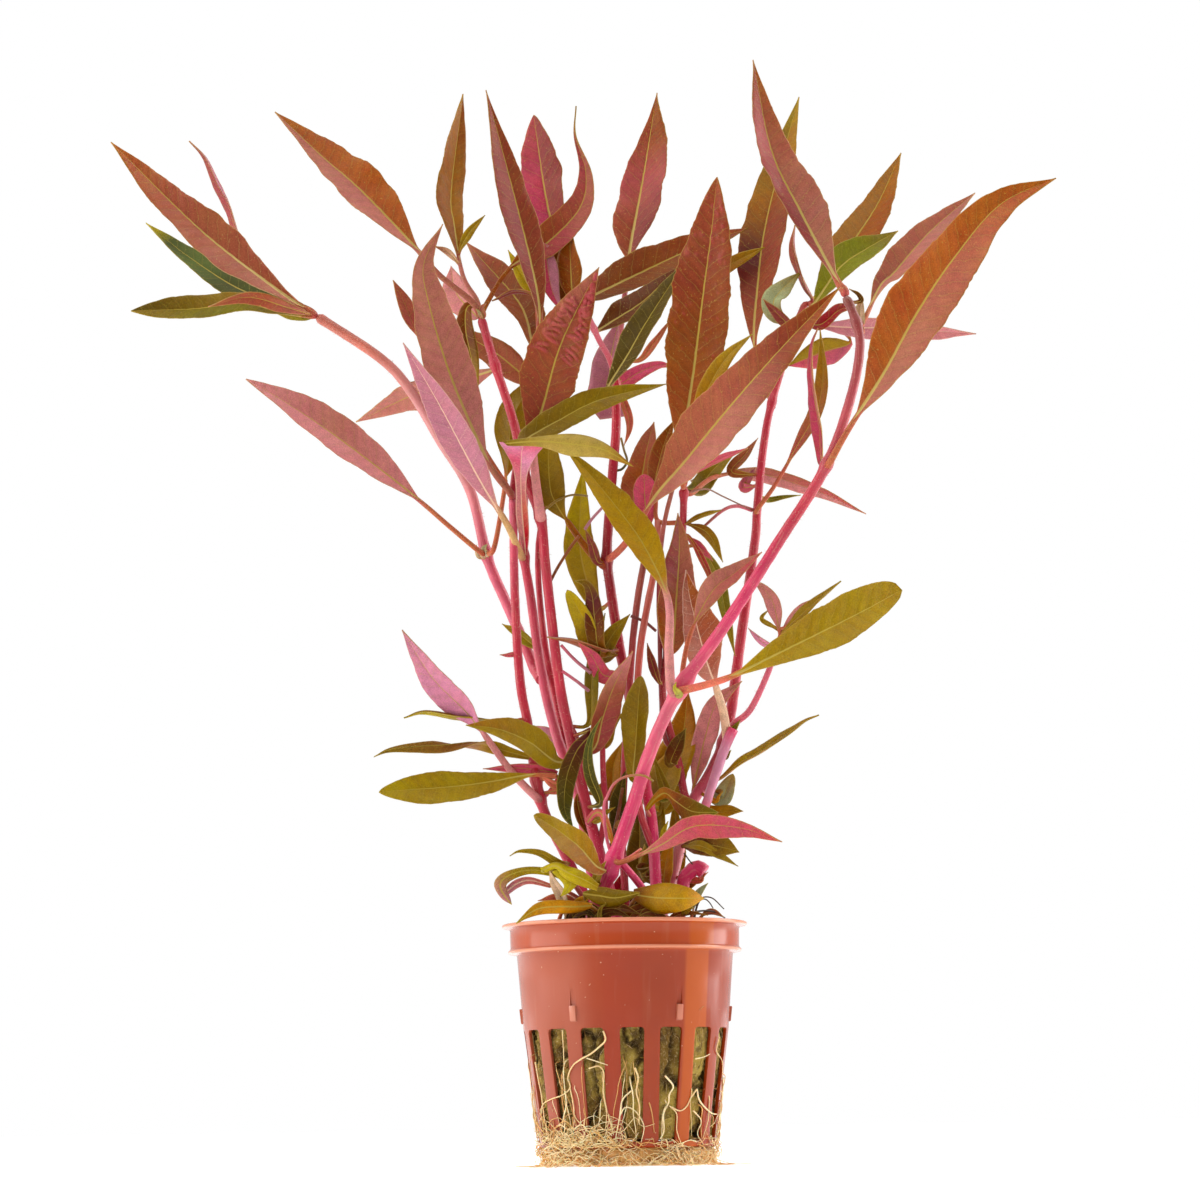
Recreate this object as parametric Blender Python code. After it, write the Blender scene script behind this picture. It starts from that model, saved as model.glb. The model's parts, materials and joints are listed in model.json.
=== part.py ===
"""A pink alternanthera in its slotted net pot: stems, leaves, rock wool, root mat and pot.

Frame: metres, +Z up, +X to the right and +Y away from the viewer. The origin is on the pot's
axis, on the surface that the pot stands on. Sizes below are in millimetres, except where a name
says degrees or pixels. A stem or leaf runs through places that are read from a photograph as
pixels and set back by a depth in millimetres, so that it grows where the real one does.
"""

import math
from typing import NamedTuple

import bmesh
import bpy
from mathutils import Matrix, Vector

MM = 0.001
GAP = 0.3

# The photograph's own camera: a 1200 pixel frame, seen from almost floor level
PHOTO_CENTRE_PX = 600.0
PHOTO_FOCAL_PX = 3850.0
EYE = Vector((-4.3, -850.0, 8.8))
EYE_PITCH_DEG = 7.775
EYE_ROLL_DEG = 0.866

# Root mat, a pad of matted roots that the pot stands on
MAT_RADIUS = 19.2
MAT_HEIGHT = 3.7
MAT_EDGE = 1.0
MAT_SIDES = 28

# Net pot
POT_FOOT_Z = MAT_HEIGHT + GAP
POT_HEIGHT = 48.9
POT_FOOT_RADIUS = 19.2
POT_SLOT_TOP_RADIUS = 22.6
POT_SHOULDER_RADIUS = 23.8
POT_SHOULDER_HEIGHT = 42.5
POT_COLLAR_RADIUS = 25.2
POT_STEP_RADIUS = 25.5
POT_STEP_THICKNESS = 0.8
POT_LIP_RADIUS = 27.0
POT_LIP_THICKNESS = 1.0
POT_EASE = 0.2
POT_WALL = 1.2
POT_SIDES = 48

SLOT_COUNT = 16
SLOT_TOP_ANGLE_DEG = 13.5
SLOT_FOOT_ANGLE_DEG = 11.8
SLOT_FIRST_DEG = 3.0
SLOT_BOTTOM = 1.3
SLOT_TOP = 25.6
SLOT_CORNER = 0.7
SLOT_DEPTH = 6.0

FLOOR_HOLE_COUNT = 8
FLOOR_HOLE_WIDTH = 3.4
FLOOR_HOLE_INNER = 5.0
FLOOR_HOLE_OUTER = 15.0
FLOOR_HUB_RADIUS = 3.0
CUT_PAST = 1.0

LUG_COUNT = 6
LUG_WIDTH = 1.3
LUG_BOTTOM = 27.9
LUG_TOP = 33.4
LUG_PROUD = 0.6
LUG_TOP_PROUD = 0.15
LUG_FIRST_DEG = 30.0

# Rock wool plug inside the pot
WOOL_EDGE_Z = POT_FOOT_Z + POT_HEIGHT - 3.0
WOOL_TOP_Z = POT_FOOT_Z + POT_HEIGHT + 1.5
WOOL_TOP_RADIUS = 15.0
WOOL_SIDES = 24

# Leaf section and sampling
LEAF_HALF_THICKNESS = 0.32
LEAF_FOLD_DEG = 14.0
PETIOLE_HALF = 0.5
LEAF_STATIONS = 10
TIP_HALF = 0.12
STEM_BEVEL_RESOLUTION = 1
STEM_STATIONS_PER_PLACE = 1.25
CURVE_STEPS = 16


class Stem(NamedTuple):
    """A stem, from the pot upward: pixels in the photograph, depths and radii in millimetres.
    A rooted stem goes on down to the rock wool."""

    name: str
    colour: tuple
    route_px: list
    depths: list
    radii: tuple
    rooted: bool = False


class Leaf(NamedTuple):
    """A leaf, from its base to its tip. The blade starts a part of the way along, after the
    petiole, is widest a part of the way along itself, and is turned about its midrib, away from
    facing the viewer, by turn_deg."""

    name: str
    colour: tuple
    route_px: list
    depths: list
    width: float
    turn_deg: float
    petiole: float = 0.06
    widest: float = 0.42


CRIMSON = (0.50, 0.03, 0.06)
PINK = (0.62, 0.05, 0.16)
BRONZE = (0.30, 0.09, 0.025)
ROSE = (0.36, 0.10, 0.08)
LILAC = (0.56, 0.20, 0.28)
OLIVE = (0.27, 0.20, 0.012)
GREEN = (0.10, 0.15, 0.015)
TERRACOTTA = (0.48, 0.09, 0.045)
WOOL_KHAKI = (0.20, 0.15, 0.04)
ROOT_TAN = (0.62, 0.36, 0.12)

STEMS = [
    Stem("stem_left_outer", PINK,
         [(534, 668), (525, 645), (505, 600), (487, 557), (470, 490), (440, 440), (410, 390),
          (380, 358), (318, 317)],
         [5, 6, 8, 8, 10, 13, 15, 18, 24], (1.1, 0.7)),
    Stem("stem_left_low", CRIMSON,
         [(581, 888), (568, 860), (541, 802), (528, 725), (520, 680), (515, 600), (513, 500)],
         [-4, -4, -7, -7, -6, -5, -4], (1.2, 0.9), True),
    Stem("stem_left_middle", CRIMSON,
         [(594, 886), (578, 795), (558, 740), (543, 680), (531, 600), (523, 538), (528, 450),
          (536, 390), (538, 356)],
         [2, 2, 2, 1, 1, 1, 6, 9, 10], (1.3, 0.8), True),
    Stem("stem_left_front", CRIMSON,
         [(610, 892), (599, 851), (588, 812), (571, 740), (559, 680), (546, 570), (541, 520),
          (527, 480), (513, 420), (495, 365), (481, 318)],
         [-5, -4, -3, -4, -5, -6, -6, -6, -3, 0, 2], (1.3, 0.8), True),
    Stem("stem_centre", CRIMSON,
         [(656, 890), (655, 867), (651, 815), (640, 760), (630, 700), (620, 650), (610, 585),
          (607, 550), (612, 480), (616, 430), (616, 376)],
         [-4, -3, 0, 2, 3, 3, 2, 1, 0, 0, 0], (1.3, 1.0), True),
    Stem("stem_centre_left_branch", CRIMSON,
         [(609, 358), (599, 340), (591, 322), (584, 306)], [2, 5, 9, 13], (0.7, 0.6)),
    Stem("stem_centre_right_branch", CRIMSON,
         [(620, 362), (621, 330), (624, 300), (629, 270)], [5, 20, 29, 32], (0.7, 0.6)),
    Stem("stem_right_trunk", PINK,
         [(668, 892), (679, 850), (685, 823), (690, 805)], [3, 5, 7, 8], (1.3, 1.3), True),
    Stem("stem_right_back", CRIMSON,
         [(697, 794), (712, 770), (728, 727), (742, 630), (755, 540), (757, 512), (763, 450),
          (773, 398), (800, 315), (808, 303)],
         [9, 9, 10, 10, 9, 9, 10, 12, 19, 20], (1.1, 0.7)),
    Stem("stem_right_middle", CRIMSON,
         [(684, 792), (678, 760), (663, 700), (668, 650), (680, 570), (683, 520), (684, 488)],
         [7, 6, 4, 3, 0, -4, -7], (0.9, 0.8)),
    Stem("stem_right_front", PINK,
         [(601, 893), (612, 865), (630, 800), (645, 750), (677, 692), (725, 625), (780, 540),
          (825, 468), (850, 400), (860, 345), (852, 310), (845, 297)],
         [-12, -14, -16, -18, -21, -24, -28, -32, -32, -31, -30, -30], (1.5, 0.8), True),
    Stem("stem_right_side_branch", PINK,
         [(735, 723), (750, 710), (765, 680), (778, 645), (781, 632)],
         [7, 4, 2, 1, 0], (0.8, 0.6)),
]

LEAVES = [
    # Far left, on the outer stem
    Leaf("leaf_far_left_long", BRONZE, [(311, 313), (270, 285), (200, 230), (111, 142)],
         [23, 18, 9, -4], 11.2, -38),
    Leaf("leaf_far_left_green", GREEN, [(303, 306), (245, 292), (190, 258), (146, 223)],
         [27, 33, 40, 47], 7.1, -36),
    Leaf("leaf_far_left_low", OLIVE, [(300, 315), (250, 301), (190, 311), (131, 311)],
         [22, 24, 28, 30], 7.5, -36),
    Leaf("leaf_left_lilac_long", ROSE,
         [(480, 552), (450, 527), (415, 497), (350, 447), (300, 412), (246, 379)],
         [5, 2, -3, -12, -18, -24], 9.3, -38, 0.3),
    # Left, on the inner stems
    Leaf("leaf_left_top", BRONZE,
         [(473, 302), (440, 275), (415, 247), (360, 190), (320, 155), (275, 112)],
         [1, 0, 0, 4, 8, 13], 11.9, -38, 0.28),
    Leaf("leaf_left_behind", LILAC, [(495, 369), (460, 380), (410, 396), (356, 422)],
         [4, 12, 24, 36], 9.2, 38),
    Leaf("leaf_left_front_long", ROSE,
         [(509, 491), (487, 460), (450, 375), (427, 297), (424, 262), (443, 224)],
         [-5, -7, -11, -16, -18, -19], 12.0, -26, 0.15),
    Leaf("leaf_left_front_pink", LILAC,
         [(518, 558), (507, 525), (480, 480), (437, 400), (403, 343)],
         [-7, -10, -17, -27, -36], 9.2, 36, 0.2),
    Leaf("leaf_top_left_narrow", BRONZE,
         [(477, 300), (463, 275), (454, 225), (451, 190), (463, 94)],
         [3, 4, 7, 10, 16], 8.1, -40, 0.25),
    Leaf("leaf_top_left_low", ROSE, [(532, 344), (520, 305), (480, 258), (465, 241)],
         [14, 21, 30, 34], 10.1, -36),
    Leaf("leaf_top_left_tall", ROSE, [(536, 346), (539, 310), (530, 260), (510, 180), (486, 90)],
         [8, 4, 0, -5, -9], 9.5, -38, 0.12),
    Leaf("leaf_top_pink_back", LILAC, [(567, 290), (558, 250), (545, 190), (534, 115)],
         [25, 24, 22, 24], 11.3, 32),
    Leaf("leaf_top_twisted", OLIVE,
         [(487, 303), (510, 268), (545, 245), (580, 208), (586, 172), (573, 125), (576, 106)],
         [5, 9, 12, 10, 5, 1, 0], 6.6, 24, 0.25),
    # Centre top
    Leaf("leaf_centre_blistered", ROSE,
         [(540, 514), (535, 475), (534, 440), (545, 400), (562, 342), (599, 267)],
         [-9, -11, -12, -14, -20, -25], 13.3, 18, 0.28, 0.46),
    Leaf("leaf_top_centre", ROSE, [(629, 263), (632, 240), (643, 180), (657, 93)],
         [33, 35, 39, 45], 13.6, 36, 0.04, 0.34),
    Leaf("leaf_centre_back_upper", BRONZE, [(584, 301), (610, 288), (690, 250), (748, 228)],
         [19, 23, 27, 31], 10.9, 40),
    Leaf("leaf_centre_back_lower", BRONZE, [(597, 331), (615, 320), (645, 300), (677, 268)],
         [10, 11, 13, 17], 7.9, 40),
    Leaf("leaf_centre_green", GREEN, [(608, 388), (628, 355), (648, 320), (688, 258)],
         [-4, -4, -1, 4], 7.0, 38),
    Leaf("leaf_centre_olive", OLIVE, [(527, 439), (560, 420), (600, 400), (666, 384)],
         [-16, -18, -18, -15], 6.9, 30),
    Leaf("leaf_centre_big", BRONZE,
         [(683, 482), (684, 440), (694, 370), (704, 290), (712, 230), (717, 177)],
         [-10, -12, -17, -23, -27, -30], 15.0, 24, 0.1, 0.5),
    # Top right
    Leaf("leaf_right_back_tall", BRONZE,
         [(772, 404), (755, 350), (758, 285), (768, 215), (799, 97)],
         [14, 20, 28, 35, 46], 12.8, 36, 0.2),
    Leaf("leaf_right_top", ROSE, [(843, 290), (835, 280), (800, 218), (770, 155), (753, 60)],
         [-29, -28, -22, -16, -8], 10.8, -36, 0.06),
    Leaf("leaf_right_back_bronze", BRONZE, [(815, 297), (858, 235), (880, 200), (901, 153)],
         [23, 33, 39, 46], 10.8, 38),
    Leaf("leaf_right_green", GREEN, [(815, 303), (840, 268), (865, 250), (898, 231)],
         [18, 18, 21, 25], 7.8, 38),
    Leaf("leaf_right_upper_narrow", ROSE,
         [(861, 326), (880, 287), (895, 272), (930, 232), (975, 193)],
         [-28, -22, -18, -10, 2], 8.1, 40, 0.15),
    Leaf("leaf_right_long", BRONZE,
         [(829, 464), (848, 430), (885, 372), (918, 312), (955, 257), (1000, 205), (1056, 178)],
         [-34, -36, -40, -44, -48, -52, -57], 15.8, 28, 0.16),
    Leaf("leaf_right_pink_level", LILAC, [(813, 324), (850, 327), (900, 328), (976, 334)],
         [18, 16, 12, 6], 6.8, -40),
    Leaf("leaf_right_front_big", ROSE,
         [(612, 557), (628, 540), (655, 497), (685, 462), (730, 407), (780, 350), (840, 287)],
         [-2, -5, -12, -20, -30, -37, -43], 13.3, 30, 0.2),
    # Centre
    Leaf("leaf_centre_yellow", OLIVE,
         [(671, 688), (669, 650), (668, 600), (645, 548), (620, 512), (590, 475), (565, 448)],
         [-24, -24, -22, -18, -16, -14, -13], 8.0, -28, 0.36),
    Leaf("leaf_centre_bent", OLIVE,
         [(523, 494), (523, 470), (533, 451), (560, 446), (600, 453), (634, 466)],
         [-10, -15, -20, -23, -25, -26], 6.6, 20, 0.34),
    Leaf("leaf_left_yellow_back", OLIVE, [(494, 548), (502, 505), (508, 480), (532, 383)],
         [2, 5, 7, 13], 9.6, -30, 0.3),
    Leaf("leaf_centre_brown_small", ROSE, [(642, 532), (640, 500), (646, 455), (654, 422)],
         [2, 2, 3, 5], 8.7, 36),
    Leaf("leaf_middle_maroon", ROSE, [(672, 648), (677, 600), (680, 550), (678, 513)],
         [-3, -8, -12, -14], 8.8, -30),
    Leaf("leaf_middle_brown", ROSE,
         [(724, 743), (720, 700), (706, 660), (690, 600), (686, 570)],
         [7, 1, -7, -16, -18], 9.6, -30, 0.2),
    Leaf("leaf_middle_pink", LILAC, [(592, 748), (600, 718), (612, 685), (634, 651)],
         [-6, -9, -12, -14], 7.6, -36),
    Leaf("leaf_middle_green", GREEN, [(634, 776), (637, 745), (641, 700), (643, 678)],
         [-6, -8, -10, -11], 6.5, 36),
    Leaf("leaf_right_narrow_level", ROSE,
         [(692, 493), (715, 477), (757, 473), (820, 492), (866, 514)],
         [-5, 4, 16, 20, 22], 4.2, -30, 0.3),
    Leaf("leaf_middle_right_small", ROSE,
         [(682, 677), (690, 635), (712, 592), (735, 573), (762, 552)],
         [-18, -20, -19, -17, -17], 5.5, 28, 0.4),
    Leaf("leaf_right_olive", OLIVE,
         [(684, 690), (730, 677), (780, 653), (860, 613), (902, 590)],
         [-24, -26, -29, -36, -41], 9.8, 30, 0.24, 0.58),
    # Lower left
    Leaf("leaf_low_left_pink", LILAC, [(536, 797), (510, 770), (470, 716), (433, 678), (402, 630)],
         [-9, -10, -14, -19, -24], 7.6, 38, 0.4),
    Leaf("leaf_low_left_brown", OLIVE, [(556, 762), (530, 743), (500, 730), (466, 725)],
         [-8, -13, -18, -22], 7.9, -36),
    Leaf("leaf_low_left_olive", OLIVE, [(556, 776), (530, 775), (490, 782), (450, 787), (379, 792)],
         [-10, -15, -18, -21, -27], 8.1, -30, 0.24, 0.55),
    # Just above the pot
    Leaf("leaf_base_left_olive", OLIVE, [(596, 866), (580, 848), (560, 832), (534, 815)],
         [-19, -22, -25, -28], 7.2, -36),
    Leaf("leaf_base_right_pink", LILAC,
         [(622, 862), (660, 845), (694, 826), (742, 828), (782, 842)],
         [-18, -22, -26, -30, -33], 6.0, -30, 0.2),
    Leaf("leaf_base_right_orange", OLIVE, [(640, 899), (660, 898), (680, 898), (704, 899)],
         [-22, -24, -26, -28], 7.2, 20, 0.04),
]


def seen(pixel, depth):
    """The place, in metres, that the photograph shows at a pixel, depth mm behind the pot axis."""
    pitch = math.radians(EYE_PITCH_DEG)
    roll = math.radians(EYE_ROLL_DEG)
    ahead = Vector((0, math.cos(pitch), math.sin(pitch)))
    level_up = Vector((0, -math.sin(pitch), math.cos(pitch)))
    level_right = Vector((1, 0, 0))
    right = level_right * math.cos(roll) - level_up * math.sin(roll)
    up = level_right * math.sin(roll) + level_up * math.cos(roll)
    across = (pixel[0] - PHOTO_CENTRE_PX) / PHOTO_FOCAL_PX
    rise = (PHOTO_CENTRE_PX - pixel[1]) / PHOTO_FOCAL_PX
    ray = ahead + right * across + up * rise
    return (EYE + ray * ((depth - EYE.y) / ray.y)) * MM


def smooth_path(points, count):
    """Evenly spaced points on a smooth curve through the given points."""
    ends = [points[0] * 2 - points[1], *points, points[-1] * 2 - points[-2]]
    dense = []
    for i in range(1, len(ends) - 2):
        a, b, c, d = ends[i - 1:i + 3]
        for k in range(CURVE_STEPS):
            t = k / CURVE_STEPS
            dense.append(0.5 * (2 * b + (c - a) * t + (2 * a - 5 * b + 4 * c - d) * t ** 2
                                + (3 * b - a - 3 * c + d) * t ** 3))
    dense.append(points[-1])
    travelled = [0.0]
    for p, q in zip(dense, dense[1:]):
        travelled.append(travelled[-1] + (q - p).length)
    result, j = [], 0
    for k in range(count):
        target = travelled[-1] * k / (count - 1)
        while j < len(dense) - 2 and travelled[j + 1] < target:
            j += 1
        share = (target - travelled[j]) / (travelled[j + 1] - travelled[j])
        result.append(dense[j].lerp(dense[j + 1], min(share, 1.0)))
    return result


def places(record):
    """The record's route in metres; its depths are one for each pixel."""
    return [seen(pixel, depth) for pixel, depth in zip(record.route_px, record.depths)]


def material(name, colour, roughness=0.5):
    """A plain Principled material, made once for each name."""
    made = bpy.data.materials.get(name)
    if made is None:
        made = bpy.data.materials.new(name)
        made.use_nodes = True
        shader = made.node_tree.nodes["Principled BSDF"]
        shader.inputs["Base Color"].default_value = (*colour, 1.0)
        shader.inputs["Roughness"].default_value = roughness
        made.diffuse_color = (*colour, 1.0)
    return made


def object_from(bm, name, colour, roughness=0.5, smooth_deg=40.0):
    """Turn a bmesh into a named object with its own material."""
    bmesh.ops.recalc_face_normals(bm, faces=bm.faces)
    mesh = bpy.data.meshes.new(name)
    bm.to_mesh(mesh)
    bm.free()
    mesh.shade_smooth()
    mesh.set_sharp_from_angle(angle=math.radians(smooth_deg))
    mesh.materials.append(material(name + "_material", colour, roughness))
    obj = bpy.data.objects.new(name, mesh)
    bpy.context.collection.objects.link(obj)
    return obj


def loft(bm, rings):
    """Join rings of points, given in order, into one closed tube with flat ends."""
    loops = [[bm.verts.new(p) for p in ring] for ring in rings]
    for lower, upper in zip(loops, loops[1:]):
        for i in range(len(lower)):
            j = (i + 1) % len(lower)
            bm.faces.new((lower[i], lower[j], upper[j], upper[i]))
    bm.faces.new(loops[0])
    bm.faces.new(loops[-1])


def turned(bm, profile, sides):
    """Turn a closed profile of (radius, height) in mm about the axis of the pot."""
    rows = []
    for k in range(sides):
        angle = 2 * math.pi * k / sides
        rows.append([bm.verts.new((r * MM * math.cos(angle), r * MM * math.sin(angle), z * MM))
                     for r, z in profile])
    for k in range(sides):
        here, there = rows[k], rows[(k + 1) % sides]
        for i in range(len(profile)):
            j = (i + 1) % len(profile)
            bm.faces.new((here[i], there[i], there[j], here[j]))


def blade_share(s, widest):
    """Half-width of a lance-shaped blade as a share of its widest, at s from base to tip."""
    if s < widest:
        return math.sin(0.5 * math.pi * s / widest) ** 0.8
    return max(math.cos(0.5 * math.pi * (s - widest) / (1 - widest)), 0.0) ** 0.95


def build_leaf(leaf):
    """A thin closed blade: four points round the midrib at each station, edges raised a little."""
    points = smooth_path(places(leaf), LEAF_STATIONS)
    turn = math.radians(leaf.turn_deg)
    lift = math.tan(math.radians(LEAF_FOLD_DEG))
    rings = []
    for i, point in enumerate(points):
        before, after = points[max(i - 1, 0)], points[min(i + 1, len(points) - 1)]
        along = (after - before).normalized()
        look = (point - EYE * MM).normalized()
        side = along.cross(look).normalized()
        back = (look - along * look.dot(along)).normalized()
        across = side * math.cos(turn) + back * math.sin(turn)
        normal = across.cross(along)
        if normal.dot(look) > 0:
            normal = -normal
        s = i / (len(points) - 1)
        if s < leaf.petiole:
            half = PETIOLE_HALF
        else:
            share = blade_share((s - leaf.petiole) / (1 - leaf.petiole), leaf.widest)
            half = max(leaf.width / 2 * share, PETIOLE_HALF if s < 0.5 else TIP_HALF)
        thick = LEAF_HALF_THICKNESS if i < len(points) - 1 else TIP_HALF
        edge_lift = normal * (half * lift * MM)
        rings.append([
            point - across * (half * MM) + edge_lift,
            point + normal * (thick * MM),
            point + across * (half * MM) + edge_lift,
            point - normal * (thick * MM),
        ])
    bm = bmesh.new()
    loft(bm, rings)
    return object_from(bm, leaf.name, leaf.colour, roughness=0.45, smooth_deg=60.0)


def build_stem(stem):
    """A tapering round stem as a curve with filled caps."""
    points = places(stem)
    if stem.rooted:
        down = points[0] - points[1]
        foot_z = (WOOL_TOP_Z + GAP) * MM + stem.radii[0] * MM / 2
        points.insert(0, points[0] + down * ((foot_z - points[0].z) / down.z))
    count = max(4, round(STEM_STATIONS_PER_PLACE * len(points)) + 1)
    points = smooth_path(points, count)
    curve = bpy.data.curves.new(stem.name, "CURVE")
    curve.dimensions = "3D"
    curve.bevel_depth = MM
    curve.bevel_resolution = STEM_BEVEL_RESOLUTION
    curve.use_fill_caps = True
    spline = curve.splines.new("POLY")
    spline.points.add(count - 1)
    for i, point in enumerate(points):
        spline.points[i].co = (*point, 1.0)
        spline.points[i].radius = stem.radii[0] + (stem.radii[1] - stem.radii[0]) * i / (count - 1)
    curve.materials.append(material(stem.name + "_material", stem.colour, 0.4))
    obj = bpy.data.objects.new(stem.name, curve)
    bpy.context.collection.objects.link(obj)
    return obj


def outer_radius(height):
    """Outer radius of the pot's wall, height mm above its foot, below the shoulder."""
    if height < SLOT_TOP:
        return POT_FOOT_RADIUS + (POT_SLOT_TOP_RADIUS - POT_FOOT_RADIUS) * height / SLOT_TOP
    rise = (height - SLOT_TOP) / (POT_SHOULDER_HEIGHT - SLOT_TOP)
    return POT_SLOT_TOP_RADIUS + (POT_SHOULDER_RADIUS - POT_SLOT_TOP_RADIUS) * rise


def pot_profile():
    """The pot's wall, floor, shoulder step, collar and lip, as one closed outline."""
    outside = [
        (outer_radius(0), 0),
        (outer_radius(SLOT_TOP), SLOT_TOP),
        (POT_SHOULDER_RADIUS, POT_SHOULDER_HEIGHT),
        (POT_STEP_RADIUS, POT_SHOULDER_HEIGHT + POT_EASE / 2),
        (POT_STEP_RADIUS, POT_SHOULDER_HEIGHT + POT_STEP_THICKNESS),
        (POT_COLLAR_RADIUS, POT_SHOULDER_HEIGHT + POT_STEP_THICKNESS + POT_EASE / 2),
        (POT_COLLAR_RADIUS, POT_HEIGHT - POT_LIP_THICKNESS - POT_EASE),
        (POT_LIP_RADIUS, POT_HEIGHT - POT_LIP_THICKNESS),
        (POT_LIP_RADIUS, POT_HEIGHT - POT_EASE),
    ]
    inside = [
        (POT_COLLAR_RADIUS - POT_WALL, POT_HEIGHT),
        (POT_COLLAR_RADIUS - POT_WALL, POT_SHOULDER_HEIGHT + POT_WALL),
        (POT_SHOULDER_RADIUS - POT_WALL, POT_SHOULDER_HEIGHT),
        (outer_radius(SLOT_TOP) - POT_WALL, SLOT_TOP),
        (outer_radius(POT_WALL) - POT_WALL, POT_WALL),
    ]
    hub = [(FLOOR_HUB_RADIUS, POT_WALL), (FLOOR_HUB_RADIUS, 0)]
    return [(r, z + POT_FOOT_Z) for r, z in outside + inside + hub]


def cutter_slots():
    """The wall's upright slots with rounded top corners, and the slots in the floor."""
    bm = bmesh.new()
    middle = (outer_radius(SLOT_BOTTOM) + outer_radius(SLOT_TOP)) / 2
    for k in range(SLOT_COUNT):
        angle = math.radians(SLOT_FIRST_DEG - 90 + 360 * k / SLOT_COUNT)
        outline = []
        for height, width_deg, corner in ((SLOT_BOTTOM, SLOT_FOOT_ANGLE_DEG, 0.0),
                                          (SLOT_TOP, SLOT_TOP_ANGLE_DEG, SLOT_CORNER)):
            half = outer_radius(height) * math.sin(math.radians(width_deg / 2))
            if corner:
                outline += [(half, height - corner), (half - corner, height),
                            (corner - half, height), (-half, height - corner)]
            else:
                outline += [(-half, height), (half, height)]
        turn = Matrix.Rotation(angle, 4, "Z")
        rings = [[turn @ Vector((reach * MM, w * MM, (h + POT_FOOT_Z) * MM)) for w, h in outline]
                 for reach in (middle - SLOT_DEPTH, middle + SLOT_DEPTH)]
        loft(bm, rings)
    for k in range(FLOOR_HOLE_COUNT):
        turn = Matrix.Rotation(2 * math.pi * (k + 0.5) / FLOOR_HOLE_COUNT, 4, "Z")
        half = FLOOR_HOLE_WIDTH / 2
        corners = [(FLOOR_HOLE_INNER, -half), (FLOOR_HOLE_OUTER, -half),
                   (FLOOR_HOLE_OUTER, half), (FLOOR_HOLE_INNER, half)]
        rings = [[turn @ Vector((x * MM, y * MM, (POT_FOOT_Z + z) * MM)) for x, y in corners]
                 for z in (-CUT_PAST, POT_WALL + CUT_PAST)]
        loft(bm, rings)
    return guide(bm, "pot_cutter")


def guide_lugs():
    """Small upright lugs on the wall, above the slots."""
    bm = bmesh.new()
    for k in range(LUG_COUNT):
        angle = math.radians(LUG_FIRST_DEG - 90 + 360 * k / LUG_COUNT)
        turn = Matrix.Rotation(angle, 4, "Z")
        rings = []
        for height, proud in ((LUG_BOTTOM, LUG_PROUD), (LUG_TOP, LUG_TOP_PROUD)):
            radius = outer_radius(height)
            reach = (radius - POT_WALL / 2, radius + proud)
            half = LUG_WIDTH / 2
            rings.append([turn @ Vector((x * MM, y * MM, (height + POT_FOOT_Z) * MM))
                          for x, y in ((reach[0], -half), (reach[1], -half),
                                       (reach[1], half), (reach[0], half))])
        loft(bm, rings)
    return guide(bm, "pot_lugs")


def guide(bm, name):
    """An object that only shapes another: drawn as wire and never rendered."""
    obj = object_from(bm, name, TERRACOTTA)
    obj.hide_render = True
    obj.display_type = "WIRE"
    return obj


def build_pot():
    bm = bmesh.new()
    turned(bm, pot_profile(), POT_SIDES)
    pot = object_from(bm, "net_pot", TERRACOTTA, roughness=0.35)
    for name, operation, other in (("slots", "DIFFERENCE", cutter_slots()),
                                   ("lugs", "UNION", guide_lugs())):
        boolean = pot.modifiers.new(name, "BOOLEAN")
        boolean.operation = operation
        boolean.object = other
    return pot


def build_wool():
    """The rock wool that fills the pot, a gap clear of its wall and floor, and mounds above it."""
    bm = bmesh.new()
    inset = POT_WALL + GAP
    heights = [POT_WALL + GAP, SLOT_TOP, POT_SHOULDER_HEIGHT - GAP]
    rings = [(outer_radius(height) - inset, height + POT_FOOT_Z) for height in heights]
    rings.append((POT_SHOULDER_RADIUS - inset, WOOL_EDGE_Z))
    rings.append((WOOL_TOP_RADIUS, WOOL_TOP_Z))
    loft(bm, [circle(radius, z, WOOL_SIDES) for radius, z in rings])
    return object_from(bm, "rock_wool", WOOL_KHAKI, roughness=0.95)


def build_mat():
    """The pad of matted roots under the pot, flat on both faces."""
    bm = bmesh.new()
    rings = [(MAT_RADIUS - MAT_EDGE, 0), (MAT_RADIUS, MAT_EDGE),
             (MAT_RADIUS, MAT_HEIGHT - MAT_EDGE / 2), (MAT_RADIUS - MAT_EDGE / 2, MAT_HEIGHT)]
    loft(bm, [circle(radius, z, MAT_SIDES) for radius, z in rings])
    return object_from(bm, "root_mat", ROOT_TAN, roughness=0.9)


def circle(radius, z, sides):
    """A ring of points about the pot's axis, in metres."""
    return [Vector((radius * MM * math.cos(2 * math.pi * k / sides),
                    radius * MM * math.sin(2 * math.pi * k / sides), z * MM))
            for k in range(sides)]


def clear_scene():
    for obj in list(bpy.data.objects):
        bpy.data.objects.remove(obj, do_unlink=True)


def main():
    clear_scene()
    build_mat()
    build_pot()
    build_wool()
    for stem in STEMS:
        build_stem(stem)
    for leaf in LEAVES:
        build_leaf(leaf)


main()
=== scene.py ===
"""Looks of the pink alternanthera in its net pot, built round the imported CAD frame.

Frame: metres, +Z up, +X to the right and +Y away from the viewer, with the origin on the pot's
axis at the floor. Shapes are worked out in millimetres. A route is a list of pixels in the
photograph with depths in mm behind the pot's axis. The fine blades and stems run where the CAD's
run, and the CAD's own stand for them in collision.
"""
import json
import math
import random
from typing import NamedTuple

import bmesh
import bpy
import numpy as np
from mathutils import Matrix, Vector, noise


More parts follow.
